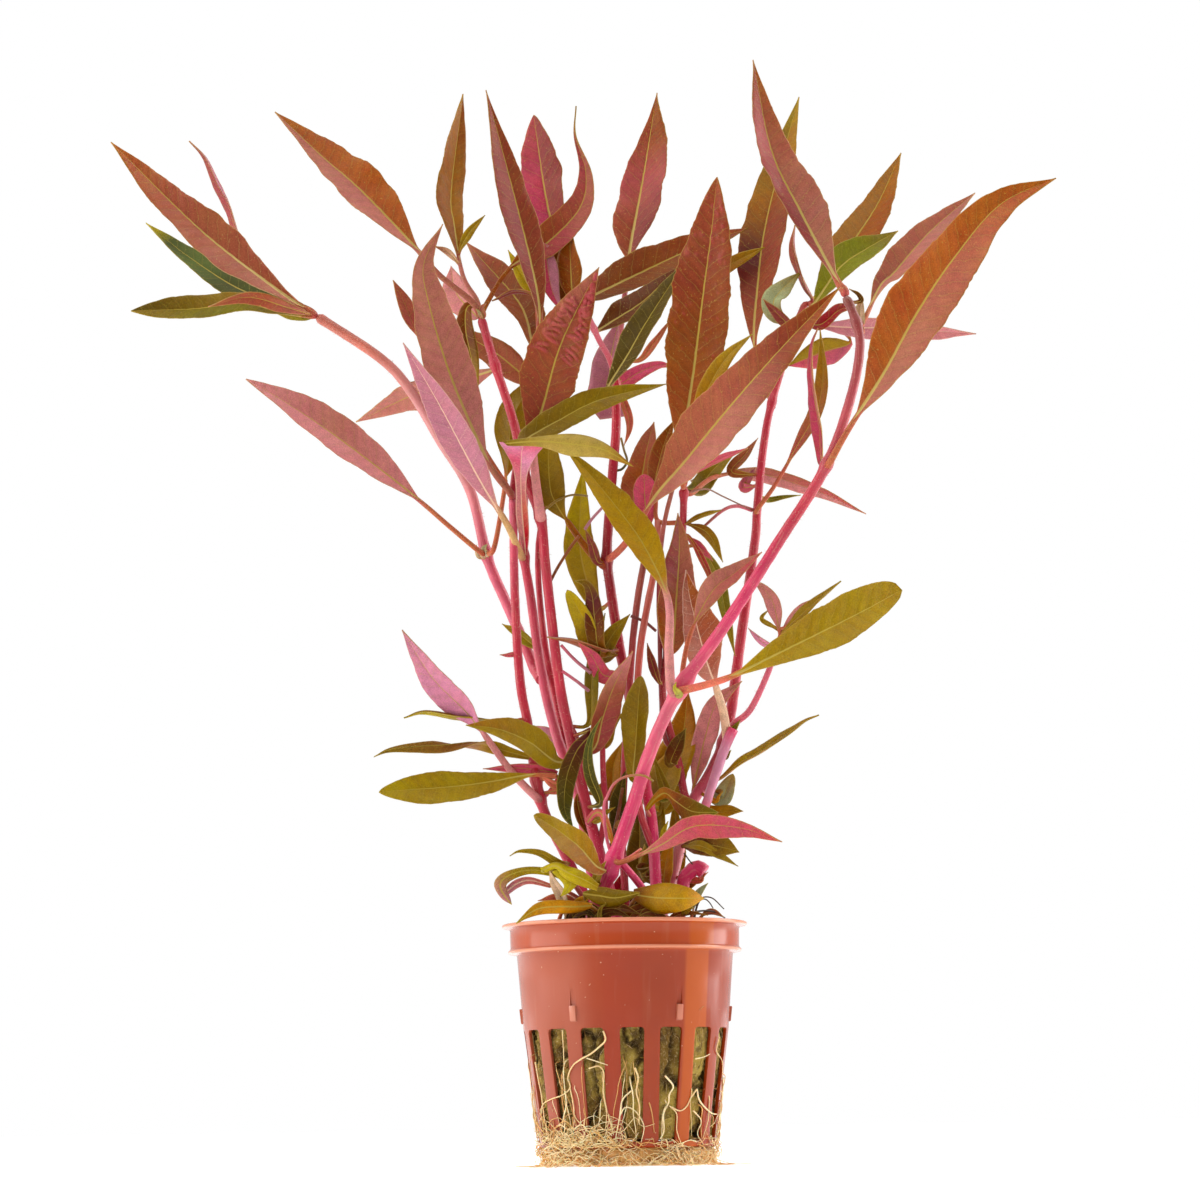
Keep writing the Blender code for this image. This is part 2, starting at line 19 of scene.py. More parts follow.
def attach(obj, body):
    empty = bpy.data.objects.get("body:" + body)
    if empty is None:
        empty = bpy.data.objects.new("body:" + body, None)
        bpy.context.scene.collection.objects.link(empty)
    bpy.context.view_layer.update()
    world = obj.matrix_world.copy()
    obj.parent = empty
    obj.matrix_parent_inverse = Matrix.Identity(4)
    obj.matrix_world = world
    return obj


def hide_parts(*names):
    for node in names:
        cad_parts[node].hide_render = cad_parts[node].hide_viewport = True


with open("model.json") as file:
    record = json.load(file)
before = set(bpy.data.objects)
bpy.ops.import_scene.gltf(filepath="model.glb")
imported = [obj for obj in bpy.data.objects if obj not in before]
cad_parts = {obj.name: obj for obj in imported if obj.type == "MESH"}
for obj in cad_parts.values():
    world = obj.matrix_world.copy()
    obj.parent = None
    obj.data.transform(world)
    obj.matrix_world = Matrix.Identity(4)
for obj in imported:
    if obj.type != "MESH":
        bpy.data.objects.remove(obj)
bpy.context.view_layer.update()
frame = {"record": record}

MM = 0.001
EYE = np.array((-4.3, -850.0, 8.8))
EYE_PITCH = math.radians(7.775)
EYE_ROLL = math.radians(0.866)
FOCAL_PX = 3850.0
CENTRE_PX = 600.0
FRAME_PX = 1200.0
SENSOR_MM = 36.0

POT_FOOT_Z = 4.0
POT_HEIGHT = 48.9
POT_RIM_Z = POT_FOOT_Z + POT_HEIGHT
WOOL_TOP_Z = POT_RIM_Z + 1.5

SLOT_TOP, SLOT_BOTTOM, SHOULDER = 25.6, 1.3, 42.5
WALL = 0.75
SLOTS, FLOOR_SLOTS, LUGS = 16, 8, 6
POT_SIDES, WOOL_SIDES, MAT_SIDES = 144, 200, 120

BLADE_HALF_MM = 0.16
FOLD = math.tan(math.radians(14.0))
PX_PER_MM = FOCAL_PX / 850.0
HAIR_MM = 0.045
HAIRS_PER_MM = 3.2
# A leaf's foot nearer to a stem than this is drawn to it. Depth counts less, being a guess.
REACH_MM = 7.0
DEPTH_COUNTS = 0.45
STEM_STEP_MM = 0.8
NODE_SWELL, NODE_MM = 0.35, 1.4
# A small leaf turned further than this keeps its width as it's seen.
EDGE_ON_DEGREES = 55

BLADE_STATIONS, RELIEF_STATIONS, SMALL_STATIONS, MARGIN_STATIONS = 88, 210, 40, 30
STEM_SIDES, THIN_SIDES, THREAD_SIDES = 16, 9, 5
THIN_POINTS, THREAD_POINTS = 26, 12
WOOL_FIBRES, WALL_THREADS, TANGLE_THREADS, MAT_THREADS, TRAILING_THREADS = 4400, 95, 135, 820, 64
PX_POT_AXIS, PX_POT_FOOT, PX_MM = 624.3, 1143.0, 4.54


def linear(r, g, b):
    """A colour given as 0 to 255 screen values, as linear light."""
    return np.array([(c / 255 / 12.92) if c <= 10 else ((c / 255 + 0.055) / 1.055) ** 2.4
                     for c in (r, g, b)])


COLOURS = {name: linear(*screen) for name, screen in {
    "bronze": (140, 78, 38), "dark_bronze": (118, 59, 24), "light_bronze": (152, 84, 48),
    "ochre_brown": (138, 88, 28), "rust": (134, 68, 48), "dark_rust": (122, 61, 42),
    "rose": (148, 84, 64), "rosy_brown": (152, 94, 78), "dusty_rose": (168, 106, 94),
    "dusty_pink": (192, 126, 124), "plum": (124, 60, 54), "mauve": (148, 73, 70),
    "raspberry": (176, 82, 88), "lilac": (168, 109, 120), "orchid": (204, 134, 158),
    "magenta": (170, 72, 90), "pink": (198, 92, 110), "hot_pink": (202, 62, 100),
    "crimson": (176, 54, 68), "ruby": (172, 46, 60), "wine": (136, 36, 42),
    "brick": (178, 76, 66), "salmon": (206, 116, 98), "olive": (138, 109, 6),
    "bright_olive": (146, 120, 12), "mustard": (166, 134, 34), "ochre": (156, 116, 32),
    "orange": (180, 124, 46), "yellow": (164, 144, 40), "moss": (114, 89, 24),
    "dark_olive": (78, 62, 8), "green": (102, 97, 24), "dark_green": (64, 68, 26),
    "grass": (80, 90, 42), "brown": (118, 62, 26), "umber": (92, 46, 14),
    "black_brown": (56, 36, 20), "cream": (216, 180, 150), "rib": (168, 146, 56),
    "stalk": (170, 98, 74), "grey_green": (150, 156, 116), "tan": (196, 158, 110),
    "gold": (204, 150, 84), "straw": (240, 214, 164), "honey": (226, 174, 102),
    "sand": (230, 196, 140), "khaki": (160, 136, 70), "coral": (184, 102, 86),
    "dark_plum": (84, 34, 32), "bright_green": (110, 108, 12), "pale_rib": (196, 180, 108),
}.items()}


class Stem(NamedTuple):
    """name, colours from the foot up, pixels, depths, radii; start is where it really begins:
    "wool", or a pixel and depth on the stem that it grows from."""

    name: str
    colours: str
    route: list
    depths: list
    radii: tuple
    start: object = None


class Leaf(NamedTuple):
    """name, colours facing the viewer, pixels, depths, width in mm, turn about the midrib in
    degrees (one, or several spread along it), the petiole's share and where it is widest. lean
    makes the right half wider than the left, and thick is the petiole's half-thickness in mm.
    Colours run from base to tip as a>b>c, and left|right of the midrib."""

    name: str
    face: str
    route: list
    depths: list
    width: float
    turn: object = 0
    petiole: float = 0.06
    widest: float = 0.42
    back: str = ""
    rib: str = "pale_rib>rib>rib"
    stalk: str = "stalk"
    tip: float = 1.02
    lean: object = 0
    thick: float = 0.55


class Small(NamedTuple):
    """family, colours, pixels, first and last depth, width in pixels, and the rest as in Leaf."""

    family: str
    face: str
    route: list
    depths: tuple
    width_px: float
    turn: object = 0
    petiole: float = 0.05
    widest: float = 0.45
    tip: float = 1.02
    stalk: str = "stalk"
    thick: float = 0.5


STEMS = [
    Stem("stem_left_outer", "crimson>pink>pink>dusty_pink>dusty_pink>coral>coral",
         [(534, 668), (525, 645), (505, 600), (487, 557), (470, 490), (440, 440), (410, 390),
          (380, 358), (318, 317)],
         [5, 6, 8, 8, 10, 13, 15, 18, 24], (1.2, 1.15), ((541, 680), 1)),
    Stem("stem_left_low", "hot_pink>crimson>ruby>crimson>pink",
         [(581, 888), (568, 860), (541, 802), (528, 725), (520, 680), (515, 600), (513, 500)],
         [-4, -4, -7, -7, -6, -5, -4], (1.2, 0.9), "wool"),
    Stem("stem_left_middle", "hot_pink>pink>crimson>crimson",
         [(594, 886), (578, 795), (558, 740), (543, 680), (531, 600), (523, 538), (528, 450),
          (536, 390), (538, 356)],
         [2, 2, 2, 1, 1, 1, 6, 9, 10], (1.3, 0.8), "wool"),
    Stem("stem_left_front", "hot_pink>crimson>crimson>crimson>ruby>crimson",
         [(610, 892), (599, 851), (588, 812), (571, 740), (559, 680), (546, 570), (541, 520),
          (527, 480), (513, 420), (495, 365), (481, 318)],
         [-5, -4, -3, -4, -5, -6, -6, -6, -3, 0, 2], (1.3, 0.95), "wool"),
    Stem("stem_centre", "hot_pink>hot_pink>ruby>ruby>wine>ruby>ruby",
         [(656, 890), (655, 867), (651, 815), (640, 760), (630, 700), (620, 650), (610, 585),
          (607, 550), (612, 480), (616, 430), (616, 376)],
         [-4, -3, 0, 2, 3, 3, 2, 1, 0, 0, 0], (1.3, 1.0), "wool"),
    Stem("stem_centre_left_branch", "crimson>pink",
         [(609, 358), (599, 340), (591, 322), (584, 306)], [2, 5, 9, 13], (0.7, 0.6),
         ((616, 378), 0)),
    Stem("stem_centre_right_branch", "crimson>wine",
         [(620, 362), (621, 330), (624, 300), (629, 270)], [5, 20, 29, 32], (0.7, 0.6),
         ((616, 378), 0)),
    Stem("stem_right_trunk", "pink>dusty_pink",
         [(668, 892), (679, 850), (685, 823), (690, 805)], [3, 5, 7, 8], (1.3, 1.3), "wool"),
    Stem("stem_right_back", "pink>crimson>crimson>crimson>brick",
         [(697, 794), (712, 770), (728, 727), (742, 630), (755, 540), (757, 512), (763, 450),
          (773, 398), (800, 315), (808, 303)],
         [9, 9, 10, 10, 9, 9, 10, 12, 19, 20], (1.35, 0.7), ((690, 806), 8)),
    Stem("stem_right_middle", "ruby>wine>ruby",
         [(684, 792), (678, 760), (663, 700), (668, 650), (680, 570), (683, 520), (684, 488)],
         [7, 6, 4, 3, 0, -4, -7], (0.9, 0.8), ((690, 806), 8)),
    Stem("stem_right_front", "hot_pink>hot_pink>pink>hot_pink>crimson>raspberry>plum",
         [(601, 893), (612, 865), (634, 802), (650, 752), (677, 693), (725, 625), (780, 540),
          (825, 468), (850, 400), (860, 345), (852, 310), (845, 297)],
         [-12, -14, -16, -18, -21, -24, -28, -32, -32, -31, -30, -30], (1.65, 0.95), "wool"),
    Stem("stem_right_side_branch", "pink>pink",
         [(735, 723), (750, 710), (765, 680), (778, 645), (781, 632)],
         [7, 4, 2, 1, 0], (0.8, 0.6), ((728, 729), 10)),
]

LEAVES = [
    # Far left, on the outer stem
    Leaf("leaf_far_left_long", "dusty_rose>rosy_brown>rose>light_bronze"
                               "|rust>rose>rose>light_bronze",
         [(311, 313), (270, 285), (200, 230), (111, 142)],
         [23, 18, 9, -4], 11.6, -38, 0.06, 0.5, back="lilac>rose", rib="pale_rib>pale_rib>rib>rib",
         lean=(0, -0.05, -0.1, -0.25), thick=0.9),
    Leaf("leaf_far_left_green", "dark_green>grass>dark_green>dark_green>grass>dark_green>yellow",
         [(303, 306), (245, 292), (190, 258), (146, 223)],
         [27, 33, 40, 47], 7.1, -36),
    Leaf("leaf_far_left_low", "moss>green>moss|khaki>moss>dark_olive",
         [(300, 315), (272, 310), (240, 303), (195, 309), (131, 311)],
         [22, 23, 25, 28, 30], 6.9, -36, 0.06, 0.66, tip=0.8),
    Leaf("leaf_left_lilac_long", "dusty_pink>dusty_pink>dusty_pink"
                                 "|salmon>dusty_pink>dusty_rose>dusty_pink",
         [(480, 552), (450, 527), (415, 497), (350, 447), (300, 412), (246, 379)],
         [5, 2, -3, -12, -18, -24], 9.8, -38, 0.3, tip=0.85, lean=0.08),
    # Left, on the inner stems
    Leaf("leaf_left_top", "dusty_rose>dusty_rose>rosy_brown|bronze>light_bronze>bronze",
         [(473, 302), (440, 275), (415, 247), (360, 190), (320, 155), (275, 112)],
         [1, 0, 0, 4, 8, 13], 11.2, -38, 0.28, 0.38, lean=(-0.3, -0.25, 0.02, 0.2, 0.25),
         thick=0.7, stalk="rosy_brown"),
    Leaf("leaf_left_behind", "dusty_rose>dusty_rose>dusty_rose",
          [(495, 369), (460, 380), (410, 396), (356, 422)],
         [4, 12, 24, 36], 9.2, 38),
    Leaf("leaf_left_front_long", "dusty_pink>dusty_rose>rosy_brown"
                                 "|dusty_pink>dusty_rose>rosy_brown",
         [(509, 491), (487, 460), (450, 375), (427, 297), (424, 262), (443, 224)],
         [-5, -7, -11, -16, -18, -19], 11.6, -26, 0.15, tip=1.15, thick=0.75,
         stalk="rosy_brown"),
    Leaf("leaf_left_front_pink", "dusty_pink>lilac>lilac|rosy_brown>lilac>lilac",
         [(521, 556), (507, 525), (480, 480), (437, 400), (403, 343)],
         [-1, -9, -17, -27, -36], 9.0, 36, 0.26, back="rose", rib="cream", stalk="tan", lean=0.1,
         thick=0.8),
    Leaf("leaf_top_left_narrow", "dark_bronze>ochre_brown|ochre_brown>ochre_brown>dark_bronze",
         [(477, 300), (463, 275), (454, 225), (451, 190), (463, 94)],
         [3, 4, 7, 10, 16], 8.4, -40, 0.25, lean=-0.2, stalk="dusty_rose"),
    Leaf("leaf_top_left_low", "bronze>dark_rust>rosy_brown|dark_bronze>dark_bronze>rose",
         [(532, 344), (520, 305), (480, 258), (465, 241)], [14, 21, 30, 34], 10.1, -36, tip=1.2),
    Leaf("leaf_top_left_tall", "dark_rust>plum>plum>dark_rust"
                               "|dark_rust>dark_rust>dark_rust>dark_rust",
         [(536, 346), (539, 310), (530, 260), (510, 180), (486, 90)],
         [8, 4, 0, -5, -9], 9.3, -38, 0.12, 0.45, tip=1.2, lean=(0.05, 0.05, 0, -0.2, -0.35, -0.4)),
    Leaf("leaf_top_pink_back", "magenta>magenta>mauve|mauve>plum>plum",
         [(567, 290), (558, 250), (545, 190), (534, 115)], [25, 24, 22, 24], 11.8, 32, 0.06, 0.5,
          tip=0.72),
    Leaf("leaf_top_twisted", "bronze>bronze>rust>mauve>plum"
                             "|dark_rust>dark_rust>mauve>rosy_brown>plum",
         [(487, 303), (510, 268), (545, 245), (580, 208), (586, 172), (575, 135), (576, 106)],
         [5, 9, 12, 10, 5, 1, 0], 7.6, (50, 24, 20, 24, 55), 0.25, 0.3, tip=2.1, stalk="bronze"),
    # Centre top
    Leaf("leaf_centre_blistered", "rose>rust>rust>rosy_brown|rust>rust>dark_rust>rust",
         [(540, 514), (535, 475), (534, 440), (545, 400), (562, 342), (599, 267)],
         [-9, -11, -12, -14, -20, -25], 13.3, 18, 0.28, 0.46, stalk="dusty_pink", thick=1.0),
    Leaf("leaf_top_centre", "rust>rust>mauve>rust>dark_bronze"
                            "|plum>plum>mauve>dark_bronze>dark_bronze",
         [(629, 263), (632, 240), (643, 180), (657, 93)],
         [33, 35, 39, 45], 13.8, 36, 0.04, 0.34, tip=1.15, lean=(0, 0.05, 0.2, 0.4, 0.5)),
    Leaf("leaf_centre_back_upper", "dark_bronze>dark_bronze>rust|umber>brown>dark_rust",
          [(584, 301), (610, 288), (690, 250), (748, 228)],
         [19, 23, 27, 31], 10.9, 40),
    Leaf("leaf_centre_back_lower", "umber>umber", [(597, 331), (615, 320), (645, 300), (677, 268)],
         [10, 11, 13, 17], 7.9, 40),
    Leaf("leaf_centre_green", "dark_olive>dark_olive",
          [(608, 388), (628, 355), (648, 320), (688, 258)],
         [-4, -4, -1, 4], 7.0, 38),
    Leaf("leaf_centre_olive", "moss>moss>olive", [(527, 439), (560, 420), (600, 400), (666, 384)],
         [-16, -18, -18, -15], 6.9, 30),
    Leaf("leaf_centre_big", "rose>light_bronze>dark_bronze>dark_rust>rust",
         [(683, 482), (684, 440), (694, 370), (704, 290), (712, 230), (717, 177)],
         [-10, -12, -17, -23, -27, -30], 15.0, 24, 0.1, 0.5, tip=0.8),
    # Top right
    # In leaf_right_back_tall, the dark_plum stop in its colours is a painted shadow.
    Leaf("leaf_right_back_tall", "bronze>rust>rust>dark_plum>ochre_brown>moss>olive"
                                 "|ochre_brown>rust>rust>dark_rust>ochre_brown>olive",
         [(772, 404), (755, 350), (758, 285), (768, 215), (799, 97)],
         [14, 20, 28, 35, 46], 12.3, 36, 0.2, lean=0.1),
    Leaf("leaf_right_top", "mauve>plum>mauve>dark_rust|rosy_brown>rosy_brown>rose>bronze",
         [(843, 290), (836, 280), (800, 212), (771, 150), (753, 60)],
         [-29, -28, -22, -16, -8], 10.4, -36, 0.06, tip=1.1,
          lean=(0.3, 0.25, 0.3, 0.1, -0.1, -0.1), thick=0.9),
    Leaf("leaf_right_back_bronze", "ochre_brown>ochre_brown|bronze>bronze>ochre_brown",
         [(815, 297), (858, 235), (880, 200), (901, 153)], [23, 33, 39, 46], 11.0, 38, lean=0.08),
    Leaf("leaf_right_green", "bright_green>bright_green>bright_green>moss",
         [(815, 303), (840, 268), (865, 250), (898, 231)], [18, 18, 21, 25], 9.0, 38),
    Leaf("leaf_right_upper_narrow", "dark_rust>rose>rose|dusty_rose>dusty_rose>rosy_brown",
         [(861, 326), (880, 287), (895, 272), (930, 232), (975, 193)],
         [-28, -22, -18, -10, 2], 8.1, 40, 0.15),
    Leaf("leaf_right_long", "rose>light_bronze>light_bronze>bronze"
                            "|dusty_rose>rosy_brown>rose>light_bronze",
         [(829, 464), (848, 430), (885, 372), (918, 312), (955, 257), (1000, 205), (1056, 178)],
         [-34, -36, -40, -44, -48, -52, -57], 14.8, 28, 0.16, lean=(0, 0, 0, 0.1, 0.2), thick=0.7),
    Leaf("leaf_right_pink_level", "lilac>dusty_pink",
          [(813, 324), (850, 327), (900, 328), (976, 334)],
         [18, 16, 12, 6], 6.8, -40, rib="cream"),
    Leaf("leaf_right_front_big", "dark_rust>rust>rose>rose>dark_rust>dark_bronze"
         "|rust>rosy_brown>dusty_rose>rosy_brown>dark_rust>bronze",
         [(612, 557), (628, 540), (655, 497), (685, 462), (730, 407), (780, 350), (840, 287)],
         [-2, -5, -12, -20, -30, -37, -43], 13.1, 30, 0.2, stalk="coral", thick=0.75),
    # Centre
    Leaf("leaf_centre_yellow", "ochre>ochre>mustard|ochre>ochre>olive",
         [(671, 688), (669, 650), (668, 600), (645, 548), (620, 512), (590, 475), (565, 448)],
         [-24, -24, -22, -18, -16, -14, -13], 8.0, -28, 0.36, stalk="dusty_pink", thick=0.95),
    Leaf("leaf_centre_bent", "pink>olive>yellow",
         [(523, 494), (523, 466), (526, 447), (560, 445), (600, 453), (634, 466)],
         [-10, -17, -22, -24, -26, -26], 6.6, 24, 0.1),
    Leaf("leaf_left_yellow_back", "bright_olive>olive>olive",
          [(494, 548), (503, 500), (508, 460), (512, 420), (532, 380)],
         [2, 5, 7, 10, 13], 9.6, -30, 0.48, 0.5, tip=0.8),
    Leaf("leaf_centre_brown_small", "dusty_rose>light_bronze>rosy_brown",
          [(642, 532), (640, 500), (646, 455), (654, 422)],
         [2, 2, 3, 5], 8.7, 36),
    Leaf("leaf_middle_maroon", "moss>bronze>plum>plum|bronze>rosy_brown>rose",
         [(672, 648), (676, 600), (679, 550), (678, 513)], [-3, -8, -12, -14], 9.8, -30, lean=-0.1),
    Leaf("leaf_middle_brown", "dusty_pink>rosy_brown>dark_rust|dusty_pink>rose>light_bronze",
         [(727, 742), (724, 715), (717, 690), (706, 660), (690, 600), (686, 570)],
         [7, 3, -1, -7, -16, -18], 9.6, -30, 0.36, rib="cream", stalk="cream", thick=0.95),
    Leaf("leaf_middle_pink", "moss>rust>rosy_brown>dusty_pink|rust>mauve>rose>dusty_pink",
         [(594, 748), (603, 716), (615, 683), (633, 651)], [-6, -9, -12, -14], 7.0, -36),
    Leaf("leaf_middle_green", "moss>olive>moss|moss>moss",
          [(634, 776), (636, 745), (639, 700), (641, 676)],
         [-6, -8, -10, -11], 6.9, 36, 0.06, 0.6, tip=0.5),
    Leaf("leaf_right_narrow_level", "bronze>rosy_brown>raspberry|dusty_pink>dusty_pink",
         [(692, 493), (715, 477), (757, 473), (820, 492), (866, 514)],
         [-5, 4, 16, 20, 22], 4.2, -30, 0.3),
    Leaf("leaf_middle_right_small", "dusty_rose>dusty_rose>dusty_rose"
                                    "|rosy_brown>rosy_brown>raspberry",
         [(682, 677), (690, 635), (712, 592), (735, 573), (762, 552)],
         [-18, -20, -19, -17, -17], 5.5, 28, 0.4),
    Leaf("leaf_right_olive", "mustard>olive>olive",
         [(684, 690), (730, 677), (780, 653), (860, 613), (902, 590)],
         [-24, -26, -29, -36, -41], 10.8, 30, 0.24, 0.66, tip=0.42, thick=0.8, stalk="salmon"),
    # Lower left
    Leaf("leaf_low_left_pink", "orchid>orchid>lilac|dusty_pink>orchid>lilac",
         [(536, 797), (510, 770), (470, 716), (433, 678), (402, 630)],
         [-9, -10, -14, -19, -24], 7.6, 38, 0.4, lean=(0, 0, 0.1, 0.1), thick=0.8,
          stalk="dusty_pink"),
    Leaf("leaf_low_left_brown", "bright_olive>olive>olive|olive>olive>ochre_brown",
          [(556, 762), (530, 743), (500, 730), (466, 725)],
         [-8, -13, -18, -22], 7.9, -36),
    Leaf("leaf_low_left_olive", "ochre>olive>bright_olive",
          [(556, 776), (530, 775), (490, 782), (450, 787), (379, 792)],
         [-10, -15, -18, -21, -27], 8.0, -30, 0.24, 0.6, tip=0.62, lean=-0.14),
    # Just above the pot
    Leaf("leaf_base_left_olive", "bronze>ochre_brown>olive|bronze>ochre>olive",
          [(596, 866), (580, 848), (560, 832), (534, 815)],
         [-19, -22, -25, -28], 7.4, -36, 0.06, 0.5, tip=0.5, lean=-0.2),
    Leaf("leaf_base_right_pink", "dusty_pink>raspberry>raspberry",
         [(622, 862), (660, 845), (694, 826), (742, 828), (782, 842)],
         [-18, -22, -26, -30, -33], 6.0, -30, 0.2),
    Leaf("leaf_base_right_orange", "ochre_brown>ochre>orange",
          [(640, 899), (660, 898), (680, 898), (704, 899)],
         [-22, -24, -26, -28], 7.2, 20, 0.04),
]

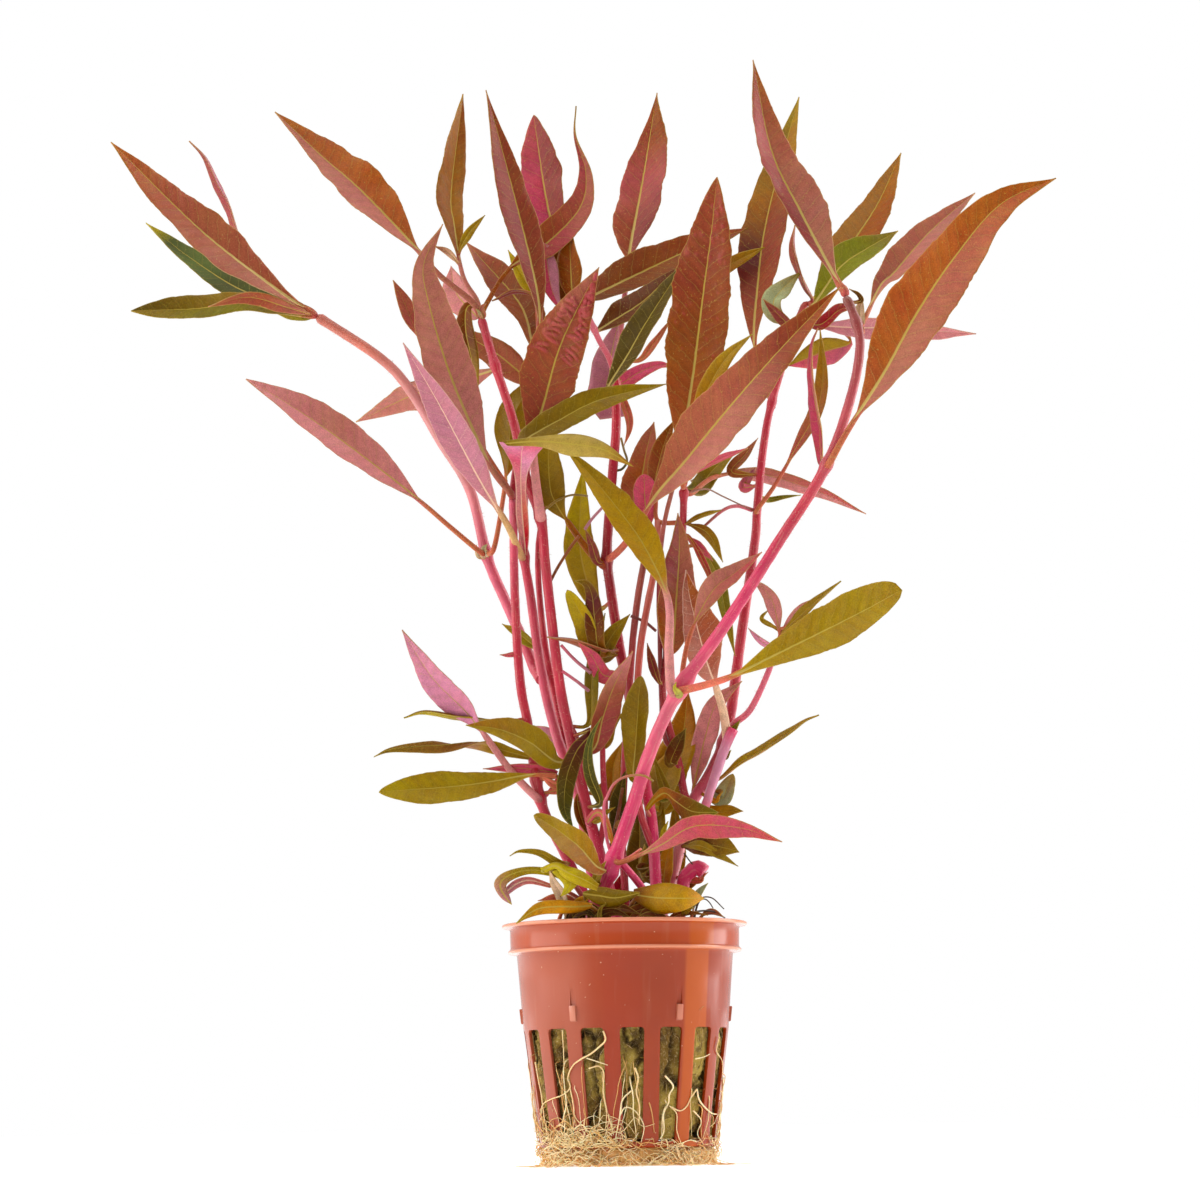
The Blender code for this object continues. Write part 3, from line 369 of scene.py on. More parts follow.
# Small leaves, buds and scraps that are mesh only, each with the fields of Small in order
SMALL = [
    ("rose", "plum>mauve>plum", [(310, 314), (277, 284), (244, 250), (228, 205), (215, 177),
         (205, 157), (189, 141)], (24, 20), 24, 74, 0.42),
    ("rose", "dusty_rose>rust>rose", [(290, 308), (248, 297), (208, 307)], (19, 21), 15, 30),
    ("green", "green>olive", [(305, 317), (280, 310), (258, 306)], (25, 27), 10, 50),
    ("olive", "olive>olive", [(458, 257), (461, 248), (470, 232), (485, 215)], (5.2, 4), 9, 20),
    ("rose", "cream>rose", [(461, 266), (448, 252), (434, 246)], (4.5, 3), 7, 20),
    ("lilac", "dusty_pink>dusty_pink", [(474, 313), (456, 292), (451, 266)], (6, 13), 30, 20),
    ("bronze", "brown>umber>olive", [(477, 306), (467, 308), (466, 330), (472, 360), (478, 398)],
         (3, 3), 20, -30),
    ("rose", "rose>rose>brown", [(538, 388), (515, 368), (495, 352), (475, 340), (455, 325)],
         (7, 15), 30, 20),
    ("olive", "olive>yellow", [(540, 346), (541, 322), (538, 298), (525, 280), (508, 250)],
         (10.5, 14), 14, 20, 0.45),
    ("lilac", "lilac>lilac|magenta>magenta", [(539, 346), (537, 300), (536, 262), (545, 243),
         (547, 262), (552, 290), (562, 312)], (11, 12), 20, 10, 0.6),
    ("bronze", "brown>bronze", [(574, 300), (571, 265), (570, 228)], (13, 11), 24, 40, 0.03, 0.5),
    ("bronze", "brown>umber>brown", [(569, 296), (561, 268), (560, 236)], (17, 15), 24, 20, 0.03,
         0.5),
    ("rose", "magenta>rose", [(508, 488), (487, 455), (452, 395), (418, 335), (405, 305),
                              (393, 280)], (-4, -6), 16, -20, 0.74),
    ("olive", "dusty_rose>rose>olive", [(631, 278), (665, 281), (705, 279), (735, 262),
         (765, 247)], (31, 28), 15, 20, 0.5),
    ("lilac", "lilac>lilac", [(612, 402), (610, 370), (614, 342), (620, 318)], (15, 24), 42, 20),
    ("lilac", "pink>pink", [(620, 384), (640, 372), (660, 365), (675, 368)], (7, 12), 15, 20),
    ("rose", "salmon>rose", [(640, 360), (655, 342), (672, 318)], (5, 8), 8, 20),
    ("rose", "rose>salmon", [(620, 396), (628, 415), (629, 430), (624, 446)], (5, 8), 9, 20),
    ("rose", "plum>wine>plum", [(820, 325), (840, 310), (858, 307)], (17, 12), 14, 40),
    ("rose", "plum>plum>rose", [(812, 300), (803, 282), (797, 265), (793, 245), (795, 225)],
         (20, 18), 20, 72),
    ("lilac", "magenta>magenta", [(822, 462), (820, 430), (814, 395), (811, 370), (812, 345),
         (818, 328)], (-24, -16), 22, 68),
    ("lilac", "pink>rose>olive", [(757, 510), (775, 485), (795, 450), (815, 415), (822, 390),
         (823, 360), (820, 330)], (6, -10), 15, 40, 0.3),
    ("lilac", "lilac>pink|olive>olive", [(806, 308), (820, 322), (842, 331), (850, 343),
         (822, 352), (788, 366)], (20, 21), 30, 20, 0.45),
    ("olive", "moss>grey_green>moss", [(778, 316), (774, 301), (785, 287), (801, 272)], (16, 19),
         22, 30),
    ("rose", "plum>plum", [(792, 328), (778, 314), (763, 299)], (15, 13), 12, 30),
    ("olive", "orange>olive", [(685, 482), (687, 452), (690, 427), (705, 395), (725, 360),
         (752, 334)], (-8, -28), 18, 20, 0.35),
    ("olive", "moss>olive>moss>olive", [(605, 567), (588, 550), (572, 528), (557, 505), (550, 485),
         (548, 436)], (1, -6), 33, 20, 0.42, 0.5, 0.6, "bronze", 0.8),
    ("olive", "olive>yellow", [(597, 606), (582, 560), (580, 520), (583, 468)], (7, 4), 30, 20),
    ("lilac", "raspberry>pink>pink", [(650, 533), (645, 505), (644, 474)], (-1.6, -4), 27, -20,
         0.05, 0.6, 0.5),
    ("bronze", "rose>brown", [(658, 521), (656, 500), (655, 482), (664, 445), (674, 420)],
         (-3, -3), 20, 20, 0.38),
    ("lilac", "dusty_rose>dusty_pink>dusty_pink>dusty_rose",
         [(693, 792), (700, 760), (706, 735), (716, 705), (742, 681)], (9, 6), 24, 20),
    ("olive", "olive>dark_green", [(590, 722), (593, 670), (605, 613)], (-2, -4), 14, 30),
    ("olive", "brown>olive", [(603, 743), (612, 725), (624, 712)], (-2.5, -7), 14, 20),
    ("olive", "dark_olive>dark_green", [(600, 802), (591, 777), (588, 757), (592, 736),
         (602, 716)], (-10, -14), 11, 20),
    ("green", "dark_plum>dark_plum>dark_olive>dark_green",
         [(592, 731), (577, 750), (567, 775), (564, 800), (566, 815), (573, 828)], (-8, -12), 19,
         20, 0.05, 0.55, 0.8),
    ("bronze", "brown>brown", [(577, 797), (580, 815), (588, 836)], (-3, -2), 11, 20),
    ("olive", "orange>mustard>yellow", [(596, 648), (583, 618), (567, 590)], (-2, -6), 21, 20,
         0.05, 0.55, 0.5),
    ("bronze", "ochre>ochre_brown>umber>dark_plum>moss",
         [(600, 650), (595, 620), (592, 595), (586, 583), (575, 581)], (-4, -8), 19, 20, 0.05, 0.5,
         0.8),
    ("rose", "rose>rose", [(602, 650), (575, 641), (547, 637)], (-4, -8), 18, 70),
    ("lilac", "magenta>pink", [(604, 675), (592, 656), (577, 641)], (-3, -6), 17, 20),
    ("rose", "plum>plum", [(598, 562), (592, 545), (585, 529)], (-1, -3), 10, 20),
    ("olive", "moss>olive", [(603, 655), (612, 636), (630, 614)], (-1, -2), 18, 20),
    ("rose", "plum>plum", [(659, 682), (652, 662), (647, 643)], (2, 2), 9, 20),
    ("bronze", "brown>rose", [(732, 472), (745, 455), (758, 438)], (8, 12), 11, 20),
    ("green", "dark_green>olive", [(698, 488), (715, 468), (737, 450)], (3, 9), 21, 20),
    ("lilac", "pink>pink", [(690, 476), (718, 461), (748, 448)], (-6, -2), 16, 62),
    ("green", "green>green", [(768, 500), (785, 497), (801, 495)], (16, 17), 6, 20),
    ("lilac", "pink>lilac", [(744, 487), (750, 476), (756, 467)], (12, 12), 11, 20),
    ("olive", "brown>olive", [(688, 524), (708, 534), (723, 562)], (-4, -8), 11, 20),
    ("lilac", "pink>pink", [(688, 538), (702, 550), (713, 561)], (-3, -4), 9, 20),
    ("rose", "crimson>rose", [(690, 538), (707, 570), (711, 585), (708, 598)], (-4, -6), 7, 20),
    ("green", "olive>green>olive", [(700, 548), (717, 575), (725, 610), (735, 656)], (0, 7), 13,
         20),
    ("olive", "olive>olive", [(684, 524), (702, 516), (721, 510)], (-4, -6), 10, 60),
    ("lilac", "dusty_rose>dusty_pink>dusty_rose", [(781, 641), (774, 605), (765, 590), (752, 579)],
         (0, -5), 15, 20, 0.2),
    ("lilac", "dusty_pink>dusty_pink", [(781, 632), (800, 612), (825, 596)], (0, -6), 11, 20),
    ("olive", "olive>olive", [(783, 632), (797, 619), (818, 600), (841, 581)], (-2, -10), 16, 62),
    ("olive", "olive>olive", [(776, 628), (762, 619), (769, 609)], (0, -1), 5, 20),
    ("lilac", "orchid>orchid", [(776, 650), (760, 640), (748, 628)], (0, 0), 7, 20),
    ("lilac", "pink>salmon", [(781, 629), (797, 625), (813, 620)], (-1, -3), 6, 20),
    ("olive", "ochre>yellow>olive>ochre", [(718, 779), (740, 763), (760, 752), (775, 742),
         (790, 732), (805, 721), (819, 715)], (9, 2), 20, 68),
    ("olive", "olive>yellow", [(502, 722), (465, 718), (425, 712), (404, 718)], (-10, -20), 16, 70),
    ("olive", "olive>olive>lilac>lilac", [(546, 762), (510, 752), (480, 744), (448, 746),
         (420, 747), (390, 750), (374, 757)], (-7, -20), 17, (20, 20, 30, 90, 150, 160, 160)),
    ("lilac", "pink>pink", [(556, 773), (520, 768), (483, 769)], (-6, -12), 11, 20),
    ("rose", "salmon>salmon", [(561, 789), (550, 782), (539, 774)], (-8, -10), 9, 20),
    ("lilac", "lilac>lilac", [(559, 743), (545, 733), (532, 726)], (4, 6), 15, 20),
    ("green", "green>olive", [(536, 647), (518, 633), (502, 624)], (3, 5), 11, 20),
    ("lilac", "pink>pink", [(519, 653), (508, 655), (500, 655)], (-5, -7), 5, 20),
    ("olive", "olive>olive", [(560, 864), (540, 853), (520, 851), (510, 856)], (-18, -24), 9, 20),
    ("green", "grey_green>cream", [(568, 930), (565, 908), (561, 894), (554, 882), (549, 869)],
         (-18, -22), 11, 20, 0.5),
    ("rose", "salmon>salmon", [(582, 930), (574, 903), (555, 897), (538, 901)], (-15, -21), 9, 20,
         0.4),
    ("bronze", "orange>orange", [(576, 932), (576, 908), (585, 899), (595, 892)], (-17, -20), 10,
         20, 0.5),
    ("bronze", "orange>brown", [(684, 832), (693, 840), (701, 847)], (2, 0), 9, 20),
    ("bronze", "brown>umber>olive", [(688, 845), (700, 844), (720, 847), (739, 852)], (2, -10), 26,
         20, 0.02, 0.6),
    ("olive", "olive>olive", [(700, 846), (720, 856), (738, 866)], (-3, -12), 10, 20),
    ("bronze", "orange>olive", [(716, 812), (730, 811), (743, 811)], (5, 0), 13, 20, 0.02, 0.6),
    ("green", "grey_green>grey_green>khaki", [(721, 799), (728, 785), (733, 774)], (6, 8), 19, 20,
         0.05, 0.5, 0.6),
    ("bronze", "orange>orange", [(715, 801), (719, 796), (723, 791)], (5, 5), 6, 20),
    ("green", "green>green", [(725, 758), (728, 754), (731, 750)], (9, 9), 5, 20),
    ("olive", "dark_green>olive", [(655, 845), (660, 820), (663, 798)], (4, 6), 15, 20),
    ("olive", "rose>olive", [(676, 862), (676, 830), (674, 798)], (6, 8), 13, 20),
    ("olive", "yellow>yellow", [(661, 842), (664, 831), (668, 821)], (-2, -2), 6, 20),
    ("bronze", "brown>orange", [(664, 886), (666, 862), (673, 838)], (-1, 2), 17, 20),
    ("olive", "olive>olive", [(600, 818), (607, 812), (615, 807)], (-9, -10), 9, 20),
    ("green", "dark_green>dark_olive", [(622, 828), (619, 800), (626, 768)], (-2, 0), 22, 20),
    ("green", "dark_green>olive", [(666, 797), (660, 775), (654, 756)], (4, 4), 11, 20),
    ("olive", "olive>olive", [(596, 882), (600, 871), (606, 861)], (-15, -16), 9, 20),
    ("rose", "salmon>salmon", [(698, 881), (703, 876), (708, 872)], (0, -1), 8, 20),
    ("bronze", "brown>brown", [(674, 893), (690, 884), (704, 876)], (0, 2), 11, 20),
    ("green", "grey_green>grey_green", [(688, 922), (694, 904), (698, 894), (703, 888),
         (708, 883)], (-4, -4), 8, 20, 0.6),
    ("rose", "plum>brown", [(668, 932), (674, 917), (690, 913), (708, 915)], (-17, -20), 7, 20,
         0.3),
    ("olive", "olive>olive", [(678, 932), (682, 915), (687, 911), (693, 907)], (-18, -20), 6, 20,
         0.5),
    ("rose", "plum>rose", [(694, 932), (702, 916), (712, 912), (724, 917)], (-13, -16), 6, 20,
         0.35),
    ("bronze", "ochre>ochre>bronze", [(664, 806), (672, 770), (683, 735), (688, 690)], (8, 12), 38,
         20, 0.03, 0.5),
    ("olive", "moss>olive", [(652, 876), (656, 845), (660, 808)], (4, 7), 26, 20),
    ("green", "moss>umber>dark_olive", [(671, 762), (678, 745), (686, 728)], (3, 2), 17, 20),
    ("olive", "moss>khaki>ochre", [(653, 808), (664, 780), (679, 748)], (6, 7), 34, 20, 0.04, 0.5,
         0.7),
    ("green", "moss>dark_olive", [(640, 872), (640, 835), (638, 798)], (6, 8), 24, 20),
    ("bronze", "umber>black_brown", [(580, 932), (586, 914), (606, 904), (628, 903)], (2, 4), 20,
         20, 0.25),
    ("bronze", "black_brown>umber", [(608, 932), (614, 915), (632, 906), (652, 903)], (6, 4), 22,
         20, 0.25),
    ("bronze", "umber>brown", [(636, 932), (642, 914), (664, 907), (690, 908)], (7, 5), 18, 20,
         0.25),
    ("bronze", "umber>black_brown", [(557, 932), (562, 913), (578, 906), (598, 907)], (3, 1), 16,
         20, 0.3),
    ("bronze", "wine>crimson", [(618, 898), (622, 882), (629, 866)], (2, 3), 17, 20),
    ("green", "grey_green>cream", [(863, 332), (860, 314), (862, 297)], (-28, -27), 10, 20, 0.3),
    ("bronze", "umber>umber", [(861, 301), (858, 294), (849, 289)], (-28, -28), 5, 20),
    ("green", "grey_green>cream", [(481, 556), (477, 550), (476, 545)], (7, 6), 7, 20),
    ("green", "cream>grey_green", [(485, 556), (484, 549), (487, 544)], (6, 5), 8, 20),
    ("green", "dusty_rose>grey_green", [(482, 318), (479, 312), (476, 309)], (1, 0), 4, 20),
    ("rose", "dusty_rose>mauve", [(484, 316), (482, 308), (486, 303)], (1, 0), 6, 20),
    ("green", "grey_green>yellow", [(679, 694), (675, 688), (676, 682)], (-25, -26), 8, 20),
    ("bronze", "umber>plum>plum", [(539, 316), (533, 296), (514, 291), (492, 301)], (5, 5), 11, 62,
         0.3),
    ("green", "green>bright_green", [(733, 730), (737, 725), (740, 720)], (6, 5), 6, 20),
    ("olive", "ochre>olive", [(670, 884), (674, 850), (678, 812)], (9, 11), 30, 20),
    ("bronze", "bronze>ochre", [(610, 790), (614, 765), (622, 742)], (4, 6), 22, 20),
    ("bronze", "umber>black_brown>umber", [(570, 933), (572, 914), (588, 908), (608, 914)],
         (-16, -18), 13, 20, 0.35),
    ("bronze", "brown>umber", [(594, 933), (600, 915), (618, 908), (640, 914)], (-17, -19), 13, 20,
         0.3),
    ("bronze", "umber>brown>umber", [(626, 933), (632, 914), (655, 908), (682, 914)], (-17, -18),
         12, 20, 0.3),
    ("bronze", "black_brown>umber", [(586, 933), (582, 910), (590, 911), (604, 917)], (-17, -19),
         10, 20, 0.5),
    ("olive", "khaki>moss", [(598, 933), (600, 913), (602, 907), (606, 904)], (-20, -22), 5, 20,
         0.6),
    ("bronze", "umber>black_brown", [(574, 934), (573, 918), (584, 912), (598, 918)], (-19, -19),
         10, 20, 0.4),
    ("bronze", "black_brown>umber", [(596, 934), (600, 918), (614, 912), (632, 918)], (-20, -20),
         10, 20, 0.35),
    ("bronze", "umber>umber", [(632, 934), (638, 918), (650, 912), (668, 918)], (-20, -20), 10, 20,
         0.35),
]

# Leaves given by their two margins in the photograph: family, colours, left margin, right margin,
# first and last depth, how far the middle bulges towards the viewer in mm
MARGINS = [
    ("lilac", "crimson>dusty_pink>dusty_pink>dusty_pink>pink>orchid"
              "|crimson>crimson>coral>dusty_pink>orchid>pink",
     [(525, 558), (519, 535), (516, 512), (516, 490), (513, 468), (506, 453), (499, 442)],
     [(527, 558), (529, 535), (528, 512), (526, 490), (528, 472), (536, 456), (547, 443)],
           (0, -23), -1.0),
    ("olive", "moss>khaki>khaki>ochre_brown",
           [(502, 441), (535, 437), (575, 434), (605, 443), (634, 467)],
     [(508, 446), (540, 447), (570, 456), (605, 458), (634, 467)], (-23, -28), 1.0),
    ("bronze", "brown>ochre>ochre>gold", [(634, 889), (652, 885), (668, 883), (690, 888),
           (704, 898)],
     [(634, 900), (648, 909), (662, 914), (685, 910), (704, 899)], (-18, -27), 1.2),
    ("olive", "lilac>olive>yellow", [(568, 872), (550, 868), (525, 867), (503, 873), (494, 884),
           (501, 898), (512, 905)][::-1],
     [(562, 880), (550, 876), (530, 874), (514, 879), (506, 886), (510, 897), (512, 905)][::-1],
           (-24, -18), 0.8),
    ("lilac", "lilac>salmon", [(552, 884), (530, 877), (515, 880), (503, 890)][::-1],
     [(550, 888), (530, 884), (518, 888), (507, 896)][::-1], (-21, -17), 0.3),
    ("olive", "yellow>yellow>olive", [(540, 868), (556, 862), (568, 866), (584, 872), (599, 884)],
     [(545, 873), (556, 869), (562, 876), (575, 884), (597, 891)], (-22, -26), 0.8),
    ("olive", "yellow>yellow", [(562, 868), (572, 873), (580, 880), (570, 892), (561, 896)],
     [(552, 872), (560, 880), (564, 886), (562, 893), (560, 897)], (-23, -24), 0.4),
    ("bronze", "orange>orange>olive", [(592, 908), (575, 913), (545, 914), (528, 918), (516, 924)],
     [(592, 903), (575, 901), (555, 900), (535, 904), (516, 923)], (-20, -27), 1.0),
    ("green", "moss>moss>moss", [(583, 892), (600, 887), (618, 890), (640, 892)],
     [(583, 895), (597, 904), (615, 907), (640, 894)], (-20, -22), 1.0),
    ("bronze", "orange>brown>green", [(645, 808), (653, 796), (663, 787), (676, 792), (694, 800),
           (718, 812)],
     [(648, 811), (657, 802), (668, 799), (676, 811), (692, 824), (718, 813)], (-3, -14), 1.0),
    ("rose", "pink>orange", [(585, 821), (592, 811), (601, 809), (609, 820), (615, 846)],
     [(590, 824), (595, 818), (600, 817), (603, 826), (612, 846)], (-8, -12), 0.6),
]

# Thin petioles, stems, hairs and a stub: family, colours, pixels, depths, radii in mm
THIN = [
    ("stem_crimson", "crimson>crimson", [(544, 505), (538, 550), (540, 600), (546, 650),
        (556, 700), (568, 750)], (4, 4), (0.6, 0.9)),
    ("stem_pink", "pink>crimson", [(571, 726), (576, 735), (581, 748)], (-2, -2), (0.5, 0.4)),
    ("stem_crimson", "crimson>crimson", [(599, 850), (605, 812), (603, 770), (602, 718)], (-4, -3),
        (0.75, 0.6)),
    ("stem_pink", "pink>salmon", [(601, 802), (594, 785), (589, 768)], (-2, -3), (0.5, 0.4)),
    ("stem_crimson", "plum>brown", [(606, 874), (612, 842), (618, 815), (623, 788)], (-4, -1),
        (0.5, 0.4)),
    ("stem_crimson", "wine>plum", [(675, 753), (664, 735), (661, 684), (660, 645), (659, 575)],
        (5.5, 2), (0.6, 0.5)),
    ("stem_crimson", "crimson>crimson>rose", [(628, 924), (624, 874), (622, 830), (626, 740),
        (632, 652), (634, 630), (639, 590), (650, 530)], (2, -2), (0.85, 0.75)),
    ("stem_crimson", "crimson>brick>coral", [(652, 846), (641, 815), (636, 780), (636, 720),
        (639, 662), (643, 630), (649, 597), (656, 560), (658, 520)], (-2, -3), (0.85, 0.75)),
    ("stem_crimson", "crimson>rose", [(667, 655), (660, 625), (659, 590), (661, 546), (666, 515),
        (675, 480)], (3, -9), (0.6, 0.5)),
    ("stem_pink", "pink>rose", [(752, 510), (737, 506), (722, 511), (699, 531)], (9, 2),
        (0.5, 0.3)),
    ("stem_pink", "hot_pink>hot_pink", [(615, 856), (626, 868), (637, 881), (652, 902),
        (662, 924)], (-14, -11), (0.8, 0.9)),
    ("stem_crimson", "brown>bronze", [(547, 588), (558, 567), (570, 548), (579, 536)], (-4, -3),
        (0.35, 0.35)),
    ("stem_crimson", "olive>moss", [(538, 513), (548, 507), (558, 500), (572, 495), (588, 496)],
        (-5.8, -5), (0.3, 0.22)),
    ("stem_pink", "lilac>lilac", [(585, 529), (592, 519), (601, 509), (610, 500)], (-4, 0),
        (0.35, 0.3)),
    ("stem_pink", "pink>lilac", [(561, 645), (575, 660), (591, 673)], (-6, -4), (0.35, 0.4)),
    ("stem_pink", "pink>lilac", [(562, 671), (575, 680), (589, 691)], (-6, -4), (0.35, 0.4)),
    ("stem_crimson", "plum>plum", [(631, 616), (645, 622), (656, 631)], (-2, 0), (0.35, 0.35)),
    ("stem_pink", "pink>crimson", [(541, 800), (549, 792), (557, 779)], (-6, -4), (0.45, 0.4)),
    ("stem_pink", "pink>pink>olive", [(613, 861), (606, 835), (604, 806), (607, 797), (613, 785),
        (622, 778), (635, 775), (645, 776), (653, 781)], (-14, -20), (0.4, 0.25)),
    ("stem_crimson", "brown>brown", [(687, 493), (706, 489), (722, 496), (741, 505), (755, 511)],
        (-7, 9), (0.2, 0.15)),
    ("stem_pink", "crimson>salmon", [(613, 865), (630, 857), (641, 849)], (-14.5, -20),
        (0.45, 0.3)),
    ("stem_crimson", "black_brown>black_brown", [(684, 853), (689, 860), (695, 867)], (-2, -3),
        (0.18, 0.12)),
    ("stem_crimson", "black_brown>black_brown",
        [(692, 926), (697, 905), (701, 898), (712, 898), (724, 909)], (-9, -14), (0.2, 0.12)),
    ("stem_crimson", "black_brown>black_brown",
        [(693, 926), (698, 904), (704, 899), (709, 902), (713, 908)], (-9, -12), (0.2, 0.12)),
    ("stem_crimson", "black_brown>black_brown", [(682, 916), (700, 911), (715, 912), (725, 918)],
        (-18, -14), (0.25, 0.15)),
    ("stem_crimson", "black_brown>brown", [(664, 914), (678, 905), (695, 903)], (-16, -12),
        (0.2, 0.12)),
    ("stem_crimson", "crimson>crimson>ruby", [(513, 512), (513, 490), (516, 468), (520, 450)],
        (-3, -2),
     (0.95, 0.7)),
    ("stem_crimson", "dark_green>olive", [(614, 471), (622, 469), (627, 461), (624, 450),
        (621, 438)], (0, 4), (0.3, 0.25)),
    ("stem_pink", "pink>orchid>orchid>orchid>hot_pink",
     [(703, 814), (710, 792), (717, 770), (724, 750), (733, 729)], (3, 4), (1.0, 1.25)),
    ("stem_pink", "pink>magenta", [(584, 306), (576, 299), (567, 290)], (13, 25), (0.55, 0.5)),
    ("stem_crimson", "rose>rose", [(650, 532), (646, 533), (642, 532)], (-1.6, 2), (0.5, 0.5)),
    ("stem_crimson", "ochre_brown>brown", [(642, 896), (634, 901), (629, 912), (627, 930)],
        (-19, -13), (0.5, 0.5)),
    ("stem_pink", "pink>coral", [(594, 930), (585, 902), (573, 883), (565, 876)], (-10, -18),
        (0.7, 0.5)),
    ("stem_pink", "coral>salmon", [(584, 902), (570, 893), (551, 886)], (-12, -17), (0.45, 0.35)),
    ("stem_pink", "yellow>yellow", [(566, 876), (554, 872), (542, 871)], (-18, -22), (0.4, 0.35)),
    ("stem_crimson", "orange>brown", [(590, 906), (599, 914), (606, 932)], (-20, -15),
        (0.45, 0.45)),
    ("stem_crimson", "moss>brown", [(585, 894), (588, 912), (592, 932)], (-20, -14), (0.45, 0.45)),
    ("stem_pink", "coral>coral", [(651, 819), (649, 814), (646, 809)], (0, -3), (0.5, 0.4)),
    ("stem_pink", "pink>pink", [(591, 825), (589, 824), (587, 823)], (-3.4, -8), (0.5, 0.4)),
    ("stem_pink", "crimson>hot_pink>hot_pink",
        [(679, 922), (681, 900), (684, 880), (690, 872), (697, 867), (704, 872)], (0, -2),
        (1.3, 1.7)),
]


def seen(pixels, depths):
    """The places in mm that the photograph shows at the pixels, depths mm behind the pot's axis."""
    pixels = np.asarray(pixels, float)
    depths = np.asarray(depths, float)
    ahead = np.array((0, math.cos(EYE_PITCH), math.sin(EYE_PITCH)))
    level_up = np.array((0, -math.sin(EYE_PITCH), math.cos(EYE_PITCH)))
    level_right = np.array((1.0, 0, 0))
    right = level_right * math.cos(EYE_ROLL) - level_up * math.sin(EYE_ROLL)
    up = level_right * math.sin(EYE_ROLL) + level_up * math.cos(EYE_ROLL)
    across = (pixels[:, 0] - CENTRE_PX) / FOCAL_PX
    rise = (CENTRE_PX - pixels[:, 1]) / FOCAL_PX
    ray = ahead + across[:, None] * right + rise[:, None] * up
    return EYE + ray * ((depths - EYE[1]) / ray[:, 1])[:, None]


def smooth_path(points, count):
    """Evenly spaced points on a smooth curve through the given points."""
    points = np.asarray(points, float)
    ends = np.vstack([2 * points[:1] - points[1:2], points, 2 * points[-1:] - points[-2:-1]])
    t = np.linspace(0, 1, 24, endpoint=False)[:, None]
    dense = []
    for i in range(1, len(ends) - 2):
        a, b, c, d = ends[i - 1:i + 3]
        dense.append(0.5 * (2 * b + (c - a) * t + (2 * a - 5 * b + 4 * c - d) * t ** 2
                            + (3 * b - a - 3 * c + d) * t ** 3))
    dense = np.vstack(dense + [points[-1:]])
    travelled = np.concatenate([[0], np.cumsum(np.linalg.norm(np.diff(dense, axis=0), axis=1))])
    wanted = np.linspace(0, travelled[-1], count)
    return np.stack([np.interp(wanted, travelled, dense[:, k]) for k in range(3)], 1)


def unit(v):
    """The vectors of an array, each made one long."""
    return v / np.maximum(np.linalg.norm(v, axis=-1, keepdims=True), 1e-9)


def smooth(x):
    """0 below 0, 1 above 1, with a smooth step between."""
    x = np.clip(x, 0, 1)
    return x * x * (3 - 2 * x)


def spread(values, s):
    """Values spaced evenly from 0 to 1, read smoothly at s."""
    values = np.atleast_1d(np.asarray(values, float))
    if len(values) == 1:
        return np.full(len(s), values[0])
    return np.interp(s, np.linspace(0, 1, len(values)), values)


def shades(text, s, v):
    """Colours for each station s along and v across, from a text such as a>b|c>d."""
    found = []
    for half in text.split("|"):
        names = half.split(">")
        stops = np.array([COLOURS[n] for n in names])
        at = np.linspace(0, 1, len(names)) if len(names) > 1 else np.array([0.0])
        found.append(np.stack([np.interp(s, at, stops[:, k]) for k in range(3)], -1))
    left, right = found[0], found[-1]
    mix = smooth(0.5 + v * 4)[..., None]
    return left[:, None, :] * mix + right[:, None, :] * (1 - mix)


class Pile:
    """Gathers closed pieces with their colours, and makes them one mesh."""

    def __init__(self):
        self.points, self.faces, self.count = [], [], 0
        self.data = {"tint": [], "rib": [], "spot": [], "ribw": []}

    def add(self, points, faces, tint, rib, spot, ribw):
        self.points.append(points)
        self.faces += [tuple(i + self.count for i in f) for f in faces]
        self.count += len(points)
        for key, value in zip(("tint", "rib", "spot", "ribw"), (tint, rib, spot, ribw)):
            self.data[key].append(value)

    def make(self, name, material, slot, stands_for=()):
        mesh = bpy.data.meshes.new(name)
        mesh.from_pydata((np.vstack(self.points) * MM).tolist(), [], self.faces)
        n = len(mesh.vertices)
        for key in ("tint", "rib"):
            layer = mesh.attributes.new(key, "FLOAT_COLOR", "POINT")
            rgba = np.ones((n, 4), np.float32)
            rgba[:, :3] = np.vstack(self.data[key])
            layer.data.foreach_set("color", rgba.ravel())
        layer = mesh.attributes.new("spot", "FLOAT_VECTOR", "POINT")
        layer.data.foreach_set("vector", np.vstack(self.data["spot"]).astype(np.float32).ravel())
        layer = mesh.attributes.new("ribw", "FLOAT", "POINT")
        layer.data.foreach_set("value", np.concatenate(self.data["ribw"]).astype(np.float32))
        mesh.shade_smooth()
        place(mesh, name, material, stands_for)


def place(mesh, name, material, stands_for=()):
    """A piece of the object, riding on the frame."""
    mesh.materials.append(material)
    obj = bpy.data.objects.new(name, mesh)
    bpy.context.scene.collection.objects.link(obj)
    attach(obj, "root")
    if stands_for:
        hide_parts(*stands_for)


def blade_share(s, widest, tip):
    """Half-width of a lance-shaped blade as a share of its widest, at s from base to tip."""
    s = np.clip(s, 0, 1)
    rising = np.sin(0.5 * np.pi * np.clip(s / widest, 0, 1)) ** 1.15
    falling = np.cos(0.5 * np.pi * np.clip((s - widest) / (1 - widest), 0, 1)) ** tip
    return np.where(s < widest, rising, falling)


